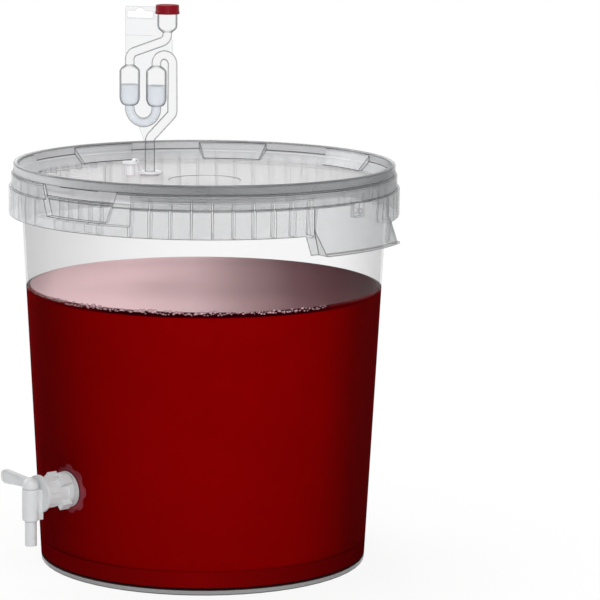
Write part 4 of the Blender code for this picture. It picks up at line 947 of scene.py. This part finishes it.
tapPlastic = makeTapPlastic()
t = tap
front = t["collarBack"] + t["collarThick"]
discFront, discBack = -t["housing"], -t["housing"] - t["discThick"]
threadTop = t["collarBack"] - t["threadStart"]
threads = []
for k in range(int((threadTop - t["tail"] - t["threadStop"]) / t["pitch"])):
    z = threadTop - k * t["pitch"]
    threads += [(t["threadRoot"], z), (t["thread"], z - t["flank"]), (t["thread"], z - t["crest"]),
                (t["threadRoot"], z - t["threadEnd"])]
tapHousing = turnOutline("tapHousing", [
    (0, discFront), (t["disc"], discFront), (t["disc"], discBack), (t["barrel"], discBack), (t["barrel"], front),
    (t["collar"], front), (t["collar"], t["collarBack"]), (t["threadRoot"], t["collarBack"]), *threads,
    (t["threadRoot"], t["tail"]), (0, t["tail"])], 72)
settle(tapHousing, lieOut)
for name, count, start, end, width, low, high in (
        ("lug", t["lugs"], front - t["lugBack"], front + t["lugLength"], t["lugWidth"], t["barrel"] - 3, t["lug"]),
        ("panel", t["panels"], front + t["lugLength"] + t["panelGap"], discBack - t["overlap"], t["panelWidth"],
         t["barrel"] - t["overlap"], t["barrel"] + t["panelRise"])):
    for k in range(count):
        part = block(name, (start, -width / 2, low), (end, width / 2, high))
        weld(tapHousing, settle(part, Matrix.Rotation(2 * pi / count * (k + 0.5), 4, "X")))
weld(tapHousing, block("fairing", (discFront - t["discThick"] / 2, -t["faceWidth"] / 2,
                                   t["fairingEdge"] - t["below"]),
                       (0, t["faceWidth"] / 2, t["above"] - t["fairingEdge"])))
weld(tapHousing, turnOutline("shell", [
    (0, t["above"]), (t["housing"], t["above"]), (t["housing"], t["footRise"] - t["below"]),
    (t["housing"] - t["footIn"], -t["below"]), (0, -t["below"])], 72))
carve(tapHousing, settle(peg("barrelBore", t["bore"], t["tail"] - t["overlap"], discBack, 64), lieOut))
carve(tapHousing, settle(peg("crossBore", t["crossBore"], discBack - t["overlap"], 0, 48), lieOut))
carve(tapHousing, peg("coreBore", t["core"], t["above"] + t["overlap"], -t["below"] - t["overlap"], 64))
roundEdges(tapHousing, t["edge"])
settle(tapHousing, tapPlace)
finishPiece(tapHousing, tapPlastic, "bucket", "tap_polypropylene", "tap_body")

lever = {
    "core": 6.0, "spout": 5.5, "spoutEnd": -48.0, "bore": 3.8, "dome": 7.6, "domeHeight": 10.5, "domeSkirt": 2.8,
    "domeSteps": 12, "length": 45.5, "root": 9.0, "tip": 6.5, "lean": 5, "thick": 4.6, "frame": 1.4,
    "recess": 0.9, "crossBore": 4.2, "gap": 0.3, "edge": 0.3,
}


# The lever's outline, or the one of the hollow in its side when it is inset
def leverOutline(inset):
    v = lever
    mid = t["above"] + v["gap"] + v["root"] / 2
    half = v["root"] / 2 - inset
    neck = t["housing"] + v["gap"] + 2 * inset
    around = arc((v["length"] - v["tip"], mid), v["tip"] - inset, 90 + v["lean"], -90 - v["lean"], 20)
    root = [] if inset else [(0, mid - half), (0, mid + half)]
    return [*root, (neck, mid + half), *around, (neck, mid - half)]


v = lever
seat = t["above"] + v["gap"]
angles = [pi / 2 * k / v["domeSteps"] for k in range(v["domeSteps"])]
dome = [(v["dome"] * cos(a), seat + v["domeSkirt"] + (v["domeHeight"] - v["domeSkirt"]) * sin(a)) for a in angles]
tapLever = turnOutline("tapLever", [
    (0, seat + v["domeHeight"]), *reversed(dome), (v["dome"], seat), (v["core"], seat), (v["core"], -t["below"]),
    (v["spout"], -t["below"] - v["gap"]), (v["spout"], v["spoutEnd"]), (0, v["spoutEnd"])], 72)
blade = cutPlate("blade", leverOutline(0), v["thick"])
for side in (1, -1):
    hollow = cutPlate("hollow", leverOutline(v["frame"]), 2 * v["recess"])
    carve(blade, settle(hollow, shift(0, side * v["thick"] / 2)))
settle(blade, Matrix.Rotation(-pi / 2, 4, "Z"))
weld(tapLever, blade)
carve(tapLever, peg("spoutBore", v["bore"], v["crossBore"], v["spoutEnd"] - t["overlap"], 48))
roundEdges(tapLever, v["edge"])
settle(tapLever, tapPlace)
finishPiece(tapLever, tapPlastic, "tap_core", "tap_polypropylene", "tap_core")

n = nut
flangeBack = n["front"] - n["flangeThick"]
lobedNut = turnOutline("lobedNut", [(n["bore"], n["front"]), (n["flange"], n["front"]),
                                    (n["flange"], flangeBack), (n["bore"], flangeBack)], 72)
settle(lobedNut, lieOut)
lobes = cutPlate("lobes", lobeOutline(), n["thick"])
settle(lobes, shift(flangeBack - n["thick"] / 2 + n["overlap"]) @ Matrix.Rotation(pi / 2, 4, "Z"))
carve(lobes, settle(peg("nutBore", n["bore"], n["front"] - n["deep"], n["front"] + 1, 64), lieOut))
weld(lobedNut, lobes)
roundEdges(lobedNut, n["edge"])
settle(lobedNut, tapPlace)
finishPiece(lobedNut, tapPlastic, "bucket", "tap_polypropylene", "tap_nut")


# Clear silicone washers, kept from the CAD: soft, slightly milky
def makeWasherSilicone():
    made, tree, shader, place = startClouded("clearSilicone", 0.3, 1.41, 4, "dfe2e3", 0.92)
    tree.links.new(seeThrough(tree, 0.6, 0.8, 1.5), shader.inputs["Alpha"])
    return made


washerSilicone = makeWasherSilicone()
for node in ("tap_washer_outer", "tap_washer_inner"):
    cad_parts[node].material_slots[0].material = washerSilicone
print("tap done")


# 1 for the rays of the camera, of mirrors and of clear pieces, 0 for the rays that light the object
def seenRays(tree):
    rays = add(tree, "ShaderNodeLightPath").outputs
    seen = calculate(tree, "MAXIMUM", rays["Is Camera Ray"], rays["Is Glossy Ray"])
    return calculate(tree, "MAXIMUM", seen, rays["Is Transmission Ray"])


# Pale floor that fades into the white round the object and keeps the shadow under it
stage = {"floor": 60, "fadeFrom": 0.18, "fadeTo": 0.42, "nearGlow": 0.88, "light": 0.25, "lampAim": 0.2}
bpy.ops.object.select_all(action="DESELECT")
bpy.ops.mesh.primitive_plane_add(size=stage["floor"])
floor = bpy.context.object
floor.name = "paleFloor"
floorMaterial, tree, shader, place = startMaterial("paleFloor", 0.9, 1.45)
shader.inputs["Base Color"].default_value = linear("f4f4f4")
distance = add(tree, "ShaderNodeVectorMath", {"operation": "LENGTH"}, links={0: place}).outputs["Value"]
fade = span(tree, distance, stage["fadeFrom"], stage["fadeTo"], stage["nearGlow"], 1.0, "LINEAR")
share = calculate(tree, "MULTIPLY", seenRays(tree), fade)
glow = add(tree, "ShaderNodeEmission", values={"Strength": 1.0}).outputs[0]
mixed = add(tree, "ShaderNodeMixShader", links={0: share, 1: shader.outputs[0], 2: glow}).outputs[0]
tree.links.new(mixed, tree.nodes["Material Output"].inputs["Surface"])
floor.data.materials.append(floorMaterial)

scene = bpy.context.scene
world = bpy.data.worlds.new("studio")
scene.world = world
world.use_nodes = True
tree = world.node_tree
room = tree.nodes["Background"]
room.inputs["Color"].default_value = (1, 1, 1, 1)
room.inputs["Strength"].default_value = stage["light"]
white = add(tree, "ShaderNodeBackground", values={"Color": (1, 1, 1, 1), "Strength": 1.0}).outputs[0]
mixed = add(tree, "ShaderNodeMixShader", links={0: seenRays(tree), 1: room.outputs[0], 2: white}).outputs[0]
tree.links.new(mixed, tree.nodes["World Output"].inputs["Surface"])

lamps = {
    "frontLamp": {"azimuth": -44, "height": 1.4, "distance": 2.1, "size": 1.3, "power": 38},
    "topLamp": {"azimuth": 150, "height": 2.2, "distance": 0.9, "size": 1.0, "power": 18},
    "leftLamp": {"azimuth": -168, "height": 1.2, "distance": 1.8, "size": 0.9, "power": 15},
}
for name, lamp in lamps.items():
    data = bpy.data.lights.new(name, "AREA")
    data.shape = "SQUARE"
    data.size = lamp["size"]
    data.energy = lamp["power"]
    obj = bpy.data.objects.new(name, data)
    scene.collection.objects.link(obj)
    a = radians(lamp["azimuth"])
    obj.location = (lamp["distance"] * cos(a), lamp["distance"] * sin(a), lamp["height"])
    obj.rotation_euler = (Vector((0, 0, stage["lampAim"])) - obj.location).to_track_quat("-Z", "Y").to_euler()

# The camera stands where the photograph was taken from: level distance, height, the two angles that it is aimed
# by, and the little that it is rolled
shot = {"azimuth": -50.3, "distance": 2.867, "height": 0.734, "down": 9.547, "right": 1.844, "roll": 0.57,
        "lens": 181.26, "sensor": 36, "reach": 100}
cameraData = bpy.data.cameras.new("photoCamera")
cameraData.lens = shot["lens"]
cameraData.sensor_width = shot["sensor"]
cameraData.clip_end = shot["reach"]
camera = bpy.data.objects.new("photoCamera", cameraData)
scene.collection.objects.link(camera)
a = radians(shot["azimuth"])
camera.location = bucketAxis + Vector((shot["distance"] * cos(a), shot["distance"] * sin(a), shot["height"]))
aim = Matrix.Rotation(radians(shot["azimuth"] + 90 - shot["right"]), 3, "Z")
aim = aim @ Matrix.Rotation(radians(90 - shot["down"]), 3, "X") @ Matrix.Rotation(radians(shot["roll"]), 3, "Z")
camera.rotation_euler = aim.to_euler()
scene.camera = camera
scene.view_settings.view_transform = "Standard"
scene.cycles.transparent_max_bounces = 64      # the rim alone is up to twenty clear faces deep
